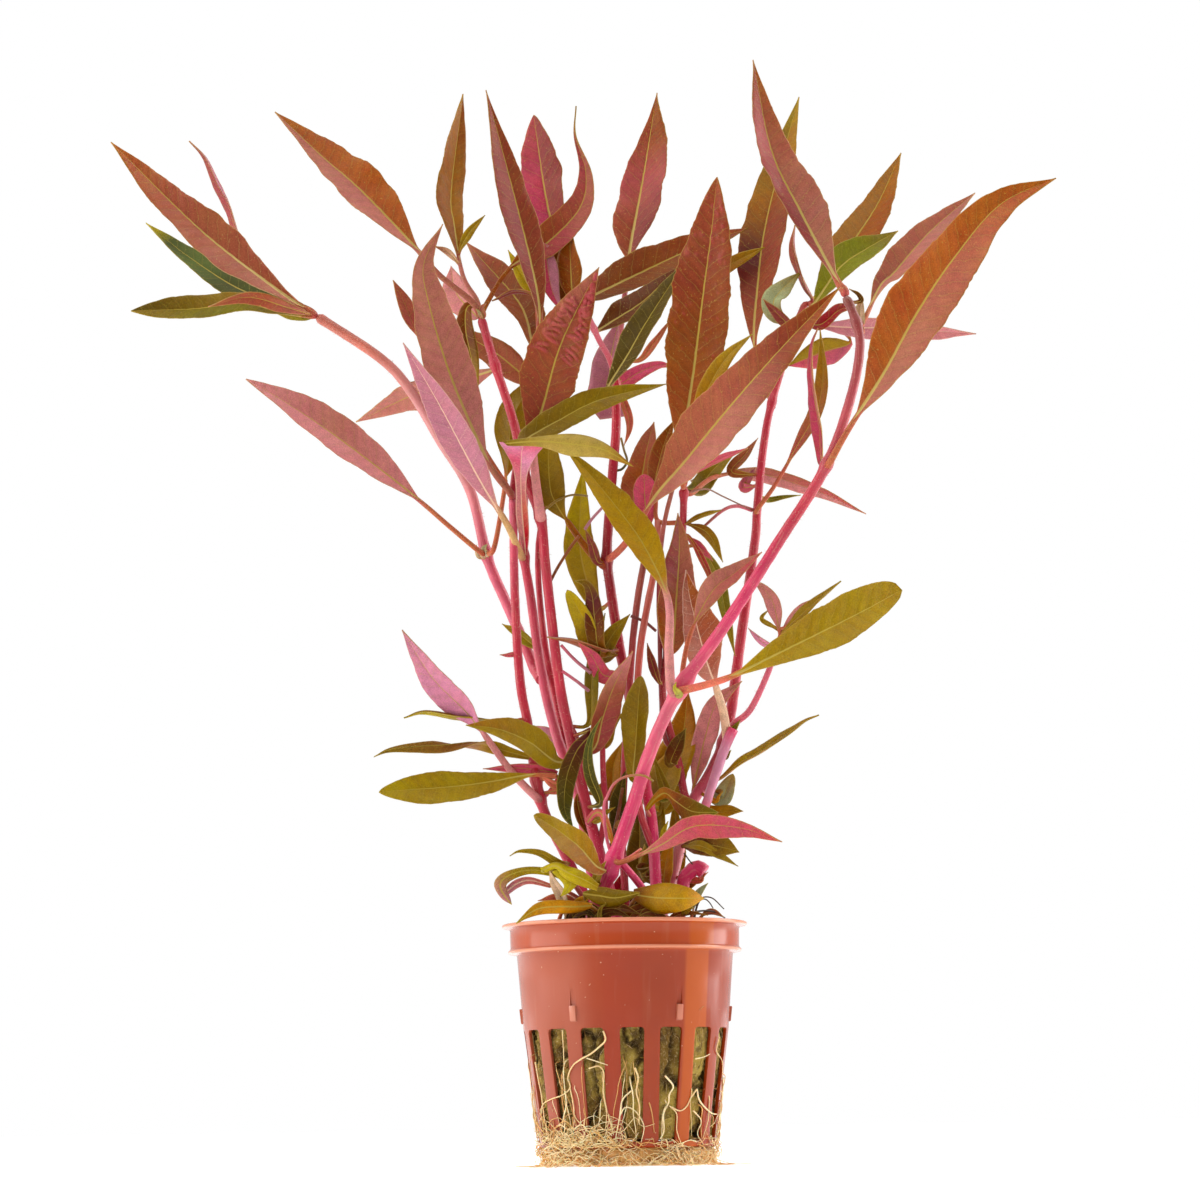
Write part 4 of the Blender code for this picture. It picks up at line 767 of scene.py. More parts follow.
def shell(pile, grid, half_mm, s, v, face, back, rib, petiole, rib_mm, length, stalk=None,
          flush=None,
          thick=0.55):
    """A thin closed blade round a grid of points, stations along by places across."""
    along = np.gradient(grid, axis=0)
    across = np.gradient(grid, axis=1)
    normal = unit(np.cross(along, across))
    rows, cols = grid.shape[:2]
    x = v * half_mm[:, None]
    narrow = smooth((petiole + 0.05 - s) / 0.08)[:, None]
    rim = np.sqrt(np.clip(1 - v ** 2, 0, 1))
    ridge = np.exp(-(x / (rib_mm[:, None] * 1.3)) ** 2) * smooth((1.02 - s) / 0.3)[:, None]
    thin = BLADE_HALF_MM * np.clip((1 - v ** 2) * 4, 0.35, 1)
    foot = smooth(0.25 + s * length / 1.6)[:, None]
    stalk_mm = thick * foot * rim + 0.03
    top = thin * (1 - narrow) + stalk_mm * narrow - 0.07 * ridge * (1 - narrow)
    low = thin * (1 - narrow) + stalk_mm * narrow + 0.34 * ridge * (1 - narrow)
    points = np.concatenate([(grid + normal * top[..., None]).reshape(-1, 3),
                             (grid - normal * low[..., None]).reshape(-1, 3)])
    n = rows * cols
    corner = (np.arange(rows - 1)[:, None] * cols + np.arange(cols - 1)).ravel()
    far = corner + cols
    faces = np.concatenate([np.stack([corner, far, far + 1, corner + 1], 1),
                            np.stack([corner, corner + 1, far + 1, far], 1) + n]).tolist()
    for i in range(rows - 1):
        a, b = i * cols, (i + 1) * cols
        faces.append((a, n + a, n + b, b))
        a, b = a + cols - 1, b + cols - 1
        faces.append((a, b, n + b, n + a))
    for j in range(cols - 1):
        faces.append((j, j + 1, n + j + 1, n + j))
        a = (rows - 1) * cols + j
        faces.append((a, n + a, n + a + 1, a + 1))
    tints = [shades(text, s, v) for text in (face, back)]
    if stalk:
        green = smooth((petiole + 0.10 - s) / 0.14)[:, None, None]
        tints = [t * (1 - green) + COLOURS[stalk] * green for t in tints]
        red = 0.65 * smooth(1 - s * length / 3.0)[:, None, None]
        tints = [t * (1 - red) + COLOURS["raspberry"] * red for t in tints]
    if flush is not None:
        tints[0] = tints[0] * (1 - flush[..., None]) + COLOURS["pink"] * flush[..., None]
    ribs = shades(rib, s, v).reshape(-1, 3)
    spot = np.stack([np.broadcast_to((s * length)[:, None], v.shape),
                     np.broadcast_to(x, v.shape),
                     half_mm[:, None] * (1 - np.abs(v)) + narrow], -1).reshape(-1, 3)
    spot = spot + np.array((random.random() * 50, 0, 0))
    wide = rib_mm * (1 - 0.8 * s ** 2) * (1 - narrow[:, 0])
    wide = np.broadcast_to(wide[:, None], v.shape).ravel()
    pile.add(points, faces, np.vstack([t.reshape(-1, 3) for t in tints]), np.vstack([ribs, ribs]),
             np.vstack([spot, spot]), np.concatenate([wide, wide]))


ACROSS = np.array((-1, -0.94, -0.84, -0.7, -0.55, -0.4, -0.27, -0.15, -0.06, 0,
                   0.06, 0.15, 0.27, 0.4, 0.55, 0.7, 0.84, 0.94, 1))
ACROSS_FEW = np.array((-1, -0.75, -0.4, -0.12, 0, 0.12, 0.4, 0.75, 1))
BACKS = {"bronze": "rose", "rose": "lilac", "lilac": "rose", "olive": "rose>moss",
         "green": "rose>green"}


def wiggle(seed, s, waves):
    """Smooth noise from about -0.5 to 0.5 along s, with the given number of waves."""
    return np.array([noise.noise((seed, waves * a, 0)) for a in s])


def blade(pile, leaf, family, stations, across_places, relief=None):
    """A leaf from its record: the midrib's path, the outline, fold, turn, waves and relief."""
    points = smooth_path(leaf_route(leaf), stations)
    s = np.linspace(0, 1, stations)
    along = unit(np.gradient(points, axis=0))
    look = unit(points - EYE)
    side = unit(np.cross(along, look))
    away = unit(look - along * np.sum(along * look, 1, keepdims=True))
    turn = np.radians(spread(leaf.turn, s))[:, None]
    across = side * np.cos(turn) + away * np.sin(turn)
    normal = unit(np.cross(along, across))
    length = np.sum(np.linalg.norm(np.diff(points, axis=0), axis=1))
    share = blade_share((s - leaf.petiole) / (1 - leaf.petiole), leaf.widest, leaf.tip)
    stalk = leaf.thick * (1.15 - 0.35 * np.clip(s / max(leaf.petiole, 0.03), 0, 1))
    half = np.maximum(leaf.width / 2 * share, np.where(s < 0.5, stalk * smooth((0.5 - s) * 8), 0))
    foot = smooth(0.25 + s * length / 1.6)
    half = np.maximum(np.where(s < leaf.petiole, stalk * foot, half), 0.07)
    v = np.broadcast_to(across_places, (stations, len(across_places)))
    seed = random.random() * 100
    body = smooth((s - leaf.petiole) / 0.2) * smooth((1 - s) / 0.12)
    slow = [wiggle(seed + k, s, 3.5) for k in (0, 31)]
    edge = [1 + (0.08 * a + 0.07 * wiggle(seed + 7 + k, s, length / 3.2) * body
                 + 0.035 * wiggle(seed + 9 + k, s, length / 0.9) * body)
            for k, a in zip((0, 31), slow)]
    lean = spread(leaf.lean, s)[:, None]
    x = v * half[:, None] * np.where(v > 0, edge[0][:, None] * (1 - lean),
        edge[1][:, None] * (1 + lean))
    lift = np.abs(x) * FOLD * (1 + 0.6 * slow[0][:, None])
    ruffle = [np.sin(s * (7 + 5 * random.random()) + seed * k) + 1.6 * wiggle(seed + 3 + k, s,
              length / 6)
              for k in (1, 2)]
    ruffle = np.where(v > 0, ruffle[0][:, None], ruffle[1][:, None])
    lift = lift + ruffle * v ** 2 * 0.09 * half[:, None] * body[:, None]
    place_mm = s[:, None] * length
    quilt = np.sin(2 * np.pi * (place_mm - 0.8 * np.abs(x)) / 3.1 + 3 * slow[0][:, None])
    lift = lift + 0.03 * quilt * body[:, None] * np.clip(half[:, None] / 4, 0.2, 1) * (1 - v ** 2)
    flush = None
    if relief is not None:
        raised = relief(s, v, half)
        lift = lift + raised
        flush = np.clip(raised / 0.6, 0, 1) * 0.3
    pebble = np.array([noise.noise((a * length / 2.4 + seed, b * 0.6, 0)) for a,
                       row in zip(s, x) for b in row])
    lift = lift + 0.07 * pebble.reshape(v.shape) * body[:, None] * np.clip(half[:, None] / 3, 0, 1)
    grid = points[:, None, :] + across[:, None, :] * x[..., None] + normal[:, None, :] * lift[...,
        None]
    rib_mm = np.clip(leaf.width * 0.032, 0.12, 0.36) * (1.3 - 0.8 * s)
    back = leaf.back or BACKS[family]
    shell(pile, grid, half, s, v, leaf.face, back, leaf.rib, leaf.petiole, rib_mm, length,
          leaf.stalk, flush, leaf.thick)


def leaf_route(leaf):
    """The leaf's places in mm, with its foot drawn to the stem that it grows from."""
    route = seen(leaf.route, leaf.depths)
    best = None
    for name, line in STEM_LINES.items():
        flat = np.linalg.norm((line - route[0]) * (1, DEPTH_COUNTS, 1), axis=1)
        k = int(np.argmin(flat))
        if best is None or flat[k] < best[0]:
            best = (flat[k], name, k)
    if best[0] < REACH_MM:
        name, k = best[1:]
        if leaf.name != "small":
            STEM_NODES[name].add(k)
        return np.vstack([STEM_LINES[name][k], route])
    return route


def hairs(pile, line, radii, count):
    """Short pale hairs that stand out from a stem, each a thin three-sided cone."""
    draw = random.Random(len(line))
    along = unit(np.gradient(line, axis=0))
    for _ in range(count):
        k = draw.randrange(2, len(line) - 2)
        out = unit(np.cross(along[k], unit(np.array([draw.gauss(0, 1) for _ in range(3)]))))
        side = np.cross(along[k], out)
        foot = line[k] + out * radii[k] * 0.9 + along[k] * draw.uniform(-0.4, 0.4)
        tip = foot + out * draw.uniform(0.35, 0.8) + along[k] * draw.uniform(0,
        0.35) + side * draw.uniform(-0.1, 0.1)
        base = [foot + HAIR_MM * (side * math.cos(a) + along[k] * math.sin(a)) for a in (0, 2.1,
                4.2)]
        tint = np.repeat(COLOURS["cream"][None], 4, 0)
        pile.add(np.array(base + [tip]), [(0, 1, 2), (0, 3, 1), (1, 3, 2), (2, 3, 0)], tint, tint,
                 np.zeros((4, 3)), np.zeros(4))


STEM_LINES = {}
STEM_NODES = {}


def stem_line(stem):
    """The stem's centre line in mm, evenly spaced, from the wool or the stem that it grows from."""
    route = seen(stem.route, stem.depths)
    if stem.start == "wool":
        down = route[0] - route[1]
        route = np.vstack([route[0] + down * ((WOOL_TOP_Z - 3.0 - route[0][2]) / down[2]), route])
    else:
        route = np.vstack([seen([stem.start[0]], [stem.start[1]]), route])
    length = np.sum(np.linalg.norm(np.diff(route, axis=0), axis=1))
    return smooth_path(route, int(length / STEM_STEP_MM) + 2)


def tube(pile, points, radii, colours, sides, rough=0.0):
    """A closed round tube with a radius at each point, and its skin a little uneven."""
    count = len(points)
    along = unit(np.gradient(points, axis=0))
    up = np.array((0.3, 0.2, 0.93))
    first = unit(np.cross(along, up))
    second = np.cross(along, first)
    angle = np.arange(sides) * 2 * np.pi / sides
    seed = random.random() * 100
    r = np.repeat(np.asarray(radii, float)[:, None], sides, 1)
    if rough:
        for i in range(count):
            for k in range(sides):
                q = points[i] * 0.6
                r[i, k] *= 1 + rough * noise.noise((q[0] + seed, q[1] + math.cos(angle[k]),
                                                    q[2] + math.sin(angle[k])))
    ring = (first[:, None, :] * np.cos(angle)[None, :, None]
            + second[:, None, :] * np.sin(angle)[None, :, None])
    body = points[:, None, :] + ring * r[..., None]
    verts = np.vstack([body.reshape(-1, 3), points[:1], points[-1:]])
    faces = []
    for i in range(count - 1):
        for k in range(sides):
            m = (k + 1) % sides
            faces.append((i * sides + k, (i + 1) * sides + k, (i + 1) * sides + m, i * sides + m))
    a, b = count * sides, count * sides + 1
    for k in range(sides):
        m = (k + 1) % sides
        faces.append((a, k, m))
        faces.append((b, (count - 1) * sides + m, (count - 1) * sides + k))
    s = np.linspace(0, 1, count)
    tint = shades(colours, s, np.zeros((count, 1)))[:, 0]
    tint = np.vstack([np.repeat(tint, sides, 0), tint[:1], tint[-1:]])
    steps = np.linalg.norm(np.diff(points, axis=0), axis=1)
    travelled = np.concatenate([[0], np.cumsum(steps)]) + seed
    spot = np.stack([np.repeat(travelled, sides), np.tile(np.cos(angle), count),
                     np.tile(np.sin(angle), count)], 1)
    spot = np.vstack([spot, spot[:1], spot[-1:]])
    ribs = np.repeat(COLOURS["cream"][None], len(verts), 0)
    pile.add(verts, faces, tint, ribs, spot, np.zeros(len(verts)))


class Nodes:
    """A material's nodes, made with short calls."""

    def __init__(self, name):
        self.material = bpy.data.materials.new(name)
        self.material.use_nodes = True
        self.tree = self.material.node_tree
        self.shader = self.tree.nodes["Principled BSDF"]

    def put(self, socket, value):
        if isinstance(value, bpy.types.NodeSocket):
            self.tree.links.new(value, socket)
        elif hasattr(value, "__len__") and socket.type == "RGBA" and len(value) == 3:
            socket.default_value = (*value, 1)
        else:
            socket.default_value = value

    def add(self, kind, inputs=(), **settings):
        made = self.tree.nodes.new("ShaderNode" + kind)
        for key, value in settings.items():
            setattr(made, key, value)
        for key, value in dict(inputs).items():
            self.put(made.inputs[key], value)
        return made

    def attribute(self, name, output="Color"):
        return self.add("Attribute", attribute_name=name).outputs[output]

    def math(self, operation, *values):
        return self.add("Math", dict(enumerate(values)), operation=operation).outputs[0]

    def mix(self, share, a, b):
        made = self.add("Mix", data_type="RGBA")
        for index, value in ((0, share), (6, a), (7, b)):
            self.put(made.inputs[index], value)
        return made.outputs[2]

    def noise(self, scale, detail=3.0, roughness=0.55, where=None):
        where = where or self.place()
        made = self.add("TexNoise", {"Scale": scale, "Detail": detail, "Roughness": roughness,
                                     "Vector": where})
        return made.outputs["Fac"]

    def place(self):
        return self.add("TexCoord").outputs["Object"]

    def between(self, value, low, high, to_low=0.0, to_high=1.0):
        made = self.add("MapRange", {"Value": value, "From Min": low, "From Max": high,
                                     "To Min": to_low, "To Max": to_high},
                        interpolation_type="SMOOTHSTEP")
        return made.outputs["Result"]

    def finish(self, **inputs):
        for key, value in inputs.items():
            self.put(self.shader.inputs[key.replace("_", " ")], value)
        return self.material


def leaf_material():
    n = Nodes("leaf")
    tint, rib = n.attribute("tint"), n.attribute("rib")
    spot = n.add("SeparateXYZ", {"Vector": n.attribute("spot", "Vector")})
    along, across, edge = (spot.outputs[k] for k in range(3))
    width = n.math("MAXIMUM", n.attribute("ribw", "Fac"), 0.001)
    off = n.math("ABSOLUTE", across)
    patch = n.noise(150.0, 4.0, 0.6)
    blotch = n.noise(560.0, 3.0, 0.6)
    grain = n.noise(3600.0, 3.0, 0.7)
    fleck = n.noise(2300.0, 1.0, 0.5)
    bend = n.math("MULTIPLY", n.noise(300.0, 2.0), 2.2)
    reach = n.math("ADD", n.math("SUBTRACT", along, n.math("MULTIPLY", off, 0.8)), bend)
    wave = n.math("SINE", n.math("MULTIPLY", reach, 2.03))
    vein = n.between(wave, 0.95, 1.0)
    ribs = n.between(off, n.math("MULTIPLY", width, 0.7), n.math("MULTIPLY", width, 1.3), 1.0, 0.0)
    margin = n.between(edge, 0.04, 0.22, 1.0, 0.0)
    hue = n.math("ADD", 0.5, n.math("MULTIPLY", n.math("SUBTRACT", patch, 0.5), 0.04))
    value = n.math("ADD", n.math("MULTIPLY", grain, 1.3), n.math("MULTIPLY", blotch, 0.4))
    value = n.math("ADD", value, n.math("MULTIPLY", patch, 0.3))
    value = n.math("SUBTRACT", value, n.math("MULTIPLY", wave, 0.05))
    base = n.add("HueSaturation", {"Hue": hue, "Saturation": 1.08, "Value": value, "Color": tint})
    colour = n.mix(n.math("MULTIPLY", vein, 0.16), base.outputs[0], rib)
    colour = n.mix(n.math("MULTIPLY", n.between(fleck, 0.66, 0.76), 0.4), colour, rib)
    colour = n.mix(n.math("MULTIPLY", ribs, 0.8), colour, rib)
    colour = n.mix(n.math("MULTIPLY", margin, 0.4), colour, rib)
    height = n.math("ADD", n.math("MULTIPLY", grain, 0.6), n.math("MULTIPLY", wave, 0.2))
    height = n.math("ADD", height, n.math("MULTIPLY", blotch, 0.5))
    bump = n.add("Bump", {"Strength": 0.6, "Distance": 0.00018, "Height": height})
    rough = n.math("ADD", 0.3, n.math("MULTIPLY", blotch, 0.25))
    return n.finish(Base_Color=colour, Roughness=rough, Normal=bump.outputs[0],
                    Subsurface_Weight=0.06, Subsurface_Scale=0.0005, Specular_IOR_Level=0.12)


def stem_material():
    n = Nodes("stem")
    tint, pale = n.attribute("tint"), n.attribute("rib")
    spot = n.attribute("spot", "Vector")
    squeeze = n.add("Mapping", {"Vector": spot, "Scale": (0.10, 2.0, 2.0)})
    streak = n.noise(1.6, 3.0, 0.6, squeeze.outputs[0])
    fleck = n.noise(1900.0, 2.0, 0.6)
    patch = n.noise(110.0, 3.0, 0.6)
    value = n.math("ADD", 0.52, n.math("MULTIPLY", patch, 0.9))
    base = n.add("HueSaturation", {"Hue": 0.5, "Saturation": 1.05, "Value": value, "Color": tint})
    lighter = n.math("MULTIPLY", n.between(streak, 0.5, 0.75), 0.22)
    colour = n.mix(lighter, base.outputs[0], pale)
    colour = n.mix(n.math("MULTIPLY", n.between(fleck, 0.6, 0.72), 0.2), colour, pale)
    height = n.math("ADD", n.math("MULTIPLY", streak, 0.8), n.math("MULTIPLY", fleck, 0.5))
    bump = n.add("Bump", {"Strength": 0.5, "Distance": 0.0002, "Height": height})
    return n.finish(Base_Color=colour, Roughness=0.38, Normal=bump.outputs[0],
                    Sheen_Weight=0.15, Sheen_Roughness=0.4, Specular_IOR_Level=0.35,
                    Subsurface_Weight=0.06,
                    Subsurface_Scale=0.001)


def fibre_material(name, dark, pale):
    """Fibres and clumps: the tint, with painted shade as darker hollows from noise, and paler
    threads.
    """
    n = Nodes(name)
    tint = n.attribute("tint")
    coarse = n.noise(240.0, 5.0, 0.65)
    fine = n.noise(2400.0, 4.0, 0.7)
    shade = n.math("MULTIPLY", n.between(coarse, 0.5, 0.34), 0.6)
    colour = n.mix(shade, tint, tuple(COLOURS[dark]))
    colour = n.mix(n.math("MULTIPLY", n.between(fine, 0.5, 0.72), 0.4), colour,
                   tuple(COLOURS[pale]))
    bump = n.add("Bump", {"Strength": 0.9, "Distance": 0.0004, "Height": fine})
    return n.finish(Base_Color=colour, Roughness=0.85, Normal=bump.outputs[0],
                    Specular_IOR_Level=0.25)


def root_material():
    n = Nodes("root")
    fine = n.noise(900.0, 3.0, 0.6)
    base = n.add("HueSaturation", {"Saturation": 1.0,
                 "Value": n.math("ADD", 0.65, n.math("MULTIPLY", fine, 0.7)),
                                   "Color": n.attribute("tint")})
    bump = n.add("Bump", {"Strength": 0.4, "Distance": 0.0001, "Height": n.noise(2600.0, 3.0)})
    return n.finish(Base_Color=base.outputs[0], Roughness=0.5, Normal=bump.outputs[0],
                    Subsurface_Weight=0.2, Subsurface_Scale=0.001, Specular_IOR_Level=0.4)


def pot_material():
    n = Nodes("pot_plastic")
    cloud = n.noise(45.0, 3.0, 0.5)
    flow = n.noise(1.0, 3.0, 0.6, n.add("Mapping", {"Vector": n.place(),
                                                    "Scale": (420, 420, 25)}).outputs[0])
    deep, light = tuple(linear(144, 48, 9)), tuple(linear(154, 55, 12))
    where = n.add("SeparateXYZ", {"Vector": n.place()}).outputs
    round_axis = n.math("ARCTAN2", where[0], n.math("MULTIPLY", where[1], -1.0))
    # Painted light: a brighter orange strip on the right of the wall, at a fixed angle round the
    # axis.
    painted_light_strip = n.math("MULTIPLY", n.between(round_axis, 0.56, 0.61), n.between(round_axis, 0.88, 0.85))
    # Painted reflection: the left side of the wall is paler, standing in for a soft light's
    # reflection.
    painted_reflection = n.math("MULTIPLY", n.between(round_axis, -0.25, -0.55), 0.22)
    # Painted shade: the middle of the front is darker and more saturated, standing in for a dark
    # reflection.
    middle = n.math("MULTIPLY", n.between(round_axis, -0.26, -0.18),
                    n.between(round_axis, 0.16, 0.13))
    collar = n.between(where[2], 0.0452, 0.0466)
    bead = n.math("MULTIPLY", n.between(where[2], 0.0461, 0.0465),
                  n.between(where[2], 0.0472, 0.0469))
    lip = n.between(n.math("SQRT", n.math("ADD", n.math("MULTIPLY", where[0], where[0]),
                                          n.math("MULTIPLY", where[1], where[1]))), 0.0263, 0.0267)
    # Painted highlight: pale lines on the bead and on the lip's outer edge.
    bead_and_lip_highlight = n.math("MAXIMUM", bead, lip)
    # Painted highlight: the lugs' faces are paler.
    lug_pad_highlight = n.math("ABSOLUTE", n.math("COSINE", n.math("MULTIPLY", round_axis, 3.0)))
    lug_pad_highlight = n.math("MULTIPLY", n.between(lug_pad_highlight, 0.11, 0.08), n.between(where[2], 0.0308, 0.0313))
    lug_pad_highlight = n.math("MULTIPLY", lug_pad_highlight, n.between(where[2], 0.0347, 0.0343))
    speck = n.noise(1900.0, 0.0, 0.5)
    colour = n.mix(n.between(cloud, 0.3, 0.7), deep, light)
    colour = n.mix(painted_reflection, colour, tuple(linear(190, 130, 108)))
    colour = n.mix(n.math("MULTIPLY", middle, 0.5), colour, tuple(linear(150, 44, 4)))
    colour = n.mix(n.math("MULTIPLY", collar, 0.45), colour, tuple(linear(184, 82, 46)))
    colour = n.mix(n.math("MULTIPLY", painted_light_strip, 0.85), colour, tuple(linear(178, 80, 14)))
    colour = n.mix(n.math("MULTIPLY", bead_and_lip_highlight, 0.45), colour, tuple(linear(244, 176, 140)))
    colour = n.mix(n.math("MULTIPLY", lug_pad_highlight, 0.5), colour, tuple(linear(220, 150, 124)))
    colour = n.mix(n.math("MULTIPLY", n.between(speck, 0.85, 0.89), 0.35), colour,
                   tuple(COLOURS["straw"]))
    colour = n.mix(n.math("MULTIPLY", n.between(flow, 0.55, 0.75), 0.04), colour,
                   tuple(COLOURS["cream"]))
    height = n.math("ADD", n.noise(500.0, 3.0), n.math("MULTIPLY", flow, 0.4))
    bump = n.add("Bump", {"Strength": 0.16, "Distance": 0.0001, "Height": height})
    rough = n.math("ADD", 0.12, n.math("MULTIPLY", cloud, 0.12))
    return n.finish(Base_Color=colour, Roughness=rough, Normal=bump.outputs[0],
                    Specular_IOR_Level=0.28, Subsurface_Weight=0.05, Subsurface_Scale=0.002)


random.seed(11)
LEAF = leaf_material()
STEM = stem_material()
WOOL = fibre_material("rock_wool", "black_brown", "straw")
ROOT = root_material()

for stem in STEMS:
    STEM_LINES[stem.name] = stem_line(stem)
    STEM_NODES[stem.name] = set()

FAMILIES = {m["node"]: m["material_slot"] for m in frame["record"]["subparts"]}


def blisters(s, v, half):
    """Welts across the blistered leaf, and small round blisters towards its tip."""
    height = np.zeros(v.shape)
    draw = random.Random(5)
    for k in range(22):
        at = 0.645 + 0.0095 * k + draw.uniform(-0.004, 0.004)
        middle = (-0.5, 0.5)[k % 2] + draw.uniform(-0.15, 0.12)
        long, thick = draw.uniform(0.16, 0.36), draw.uniform(0.0042, 0.0062)
        bow, tilt = draw.uniform(-0.10, 0.06), draw.uniform(-0.03, 0.03)
        off = s[:, None] - at - bow * (v - middle) ** 2 - tilt * (v - middle)
        welt = np.exp(-(off / thick) ** 4 - ((v - middle) / long) ** 6)
        height = np.maximum(height, welt * draw.uniform(0.4, 0.75))
    for k in range(34):
        at, middle = draw.uniform(0.78, 0.97), draw.uniform(-0.9, -0.2)
        if k % 5 == 0:
            at, middle = draw.uniform(0.7, 0.86), draw.uniform(0.2, 0.8)
        size = draw.uniform(0.38, 0.62)
        away = (s[:, None] - at) * 52
        bulge = np.exp(-((away / size) ** 2 + ((v - middle) * half[:, None] / size) ** 2) ** 2)
        height = np.maximum(height, bulge * draw.uniform(0.45, 0.7))
    return height * (1 - v ** 6)


def pimples(s, v, half):
    """Small bumps on the upper part of the big centre leaf."""
    height = np.zeros(v.shape)
    draw = random.Random(9)
    for k in range(60):
        at, middle = draw.uniform(0.45, 0.97), draw.uniform(-0.8, 0.8)
        size = draw.uniform(0.3, 0.6) * (0.6 + 0.5 * (at > 0.75))
        away = (s[:, None] - at) * 62
        bulge = np.exp(-(away / size) ** 2 - ((v - middle) * half[:, None] / size) ** 2)
        height += bulge * draw.uniform(0.15, 0.32)
    return height


RELIEF = {"leaf_centre_blistered": blisters, "leaf_centre_big": pimples}
ACROSS_MANY = np.linspace(-1, 1, 45)
EDGED = {"leaf_centre_bent": (0, 1), "leaf_base_right_orange": (2,)}


def build_margins(pile, record):
    """A leaf between its two margins in the photograph."""
    family, colours, left, right, depths, bulge = record
    rows = MARGIN_STATIONS
    s = np.linspace(0, 1, rows)
    sides = [smooth_path(seen(side, np.linspace(*depths, len(side))), rows) for side in (left,
             right)]
    v = np.broadcast_to(ACROSS_FEW, (rows, len(ACROSS_FEW)))
    share = ((v + 1) / 2)[..., None]
    grid = sides[0][:, None] * share + sides[1][:, None] * (1 - share)
    grid = grid - np.array((0, 1, 0)) * (bulge * (1 - v ** 2) * np.sin(np.pi * s)[:, None])[...,
        None]
    half = np.maximum(np.linalg.norm(sides[0] - sides[1], axis=1) / 2, 0.05)
    length = np.sum(np.linalg.norm(np.diff(grid[:, 4], axis=0), axis=1))
    rib_mm = np.full(rows, 0.16)
    rib = "cream" if family == "lilac" else "rib"
    shell(pile, grid, half, s, v, colours, BACKS[family], rib, -0.2, rib_mm, length)


for leaf in LEAVES:
    family = FAMILIES[leaf.name].replace("leaf_", "")
    pile = Pile()
    if leaf.name in EDGED:
        for k in EDGED[leaf.name]:
            build_margins(pile, MARGINS[k])
    elif leaf.name in RELIEF:
        blade(pile, leaf, family, RELIEF_STATIONS, ACROSS_MANY, RELIEF[leaf.name])
    else:
        blade(pile, leaf, family, BLADE_STATIONS, ACROSS)
    pile.make(leaf.name + "_blade", LEAF, "leaf_" + family, [leaf.name])

piles = {}
for record in SMALL:
    small = Small(*record)
    width = small.width_px / PX_PER_MM
    if not isinstance(small.turn, tuple) and small.turn <= EDGE_ON_DEGREES:
        width = width * (1 / math.cos(math.radians(small.turn)))
    leaf = Leaf("small", small.face, small.route,
                list(np.linspace(*small.depths, len(small.route))), width, small.turn,
                small.petiole, small.widest, "", "rib", small.stalk, small.tip, 0, small.thick)
    blade(piles.setdefault(small.family, Pile()), leaf, small.family, SMALL_STATIONS, ACROSS_FEW)
for record in MARGINS[3:]:
    build_margins(piles.setdefault(record[0], Pile()), record)
for family, pile in piles.items():
    pile.make("small_leaves_" + family, LEAF, "leaf_" + family)

for stem in STEMS:
    line = STEM_LINES[stem.name]
    count = len(line)
    s = np.linspace(0, 1, count)
    radii = stem.radii[0] + (stem.radii[1] - stem.radii[0]) * s
    place_mm = np.arange(count) * STEM_STEP_MM
    for k in STEM_NODES[stem.name]:
        radii = radii * (1 + NODE_SWELL * np.exp(-((place_mm - k * STEM_STEP_MM) / NODE_MM) ** 2))
    radii[-2:] *= (0.85, 0.5)
    pile = Pile()
    tube(pile, line, radii, stem.colours, STEM_SIDES, 0.05)
    hairs(pile, line, radii, int(count * STEM_STEP_MM * HAIRS_PER_MM))
    pile.make(stem.name + "_skin", STEM, FAMILIES[stem.name], [stem.name])

thin_piles = {}
for family, colours, route, depths, radii in THIN:
    line = smooth_path(seen(route, np.linspace(*depths, len(route))), THIN_POINTS)
    tube(thin_piles.setdefault(family, Pile()), line, np.linspace(*radii, THIN_POINTS), colours,
         THIN_SIDES, 0.08)
for family, pile in thin_piles.items():
    pile.make("fine_" + family + "s", STEM, family)


def outer_radius(height):
    """Outer radius of the pot's wall in mm, height mm above its foot."""
    return float(np.interp(height, (0, SLOT_TOP, SHOULDER), (19.2, 22.5, 23.8)))


def solid_from(bm, name):
    """A hidden object for the pot's Boolean steps."""
    bmesh.ops.recalc_face_normals(bm, faces=bm.faces)
    mesh = bpy.data.meshes.new(name)
    bm.to_mesh(mesh)
    bm.free()
    obj = bpy.data.objects.new(name, mesh)
    bpy.context.scene.collection.objects.link(obj)
    return obj


def prism(bm, *outlines):
    """A closed solid through outlines that have the same number of points."""
    rings = [[bm.verts.new(Vector(q) * MM) for q in ring] for ring in outlines]
    count = len(rings[0])
    for low, high in zip(rings, rings[1:]):
        for i in range(count):
            j = (i + 1) % count
            bm.faces.new((low[i], low[j], high[j], high[i]))
    bm.faces.new(rings[0])
    bm.faces.new(rings[-1])


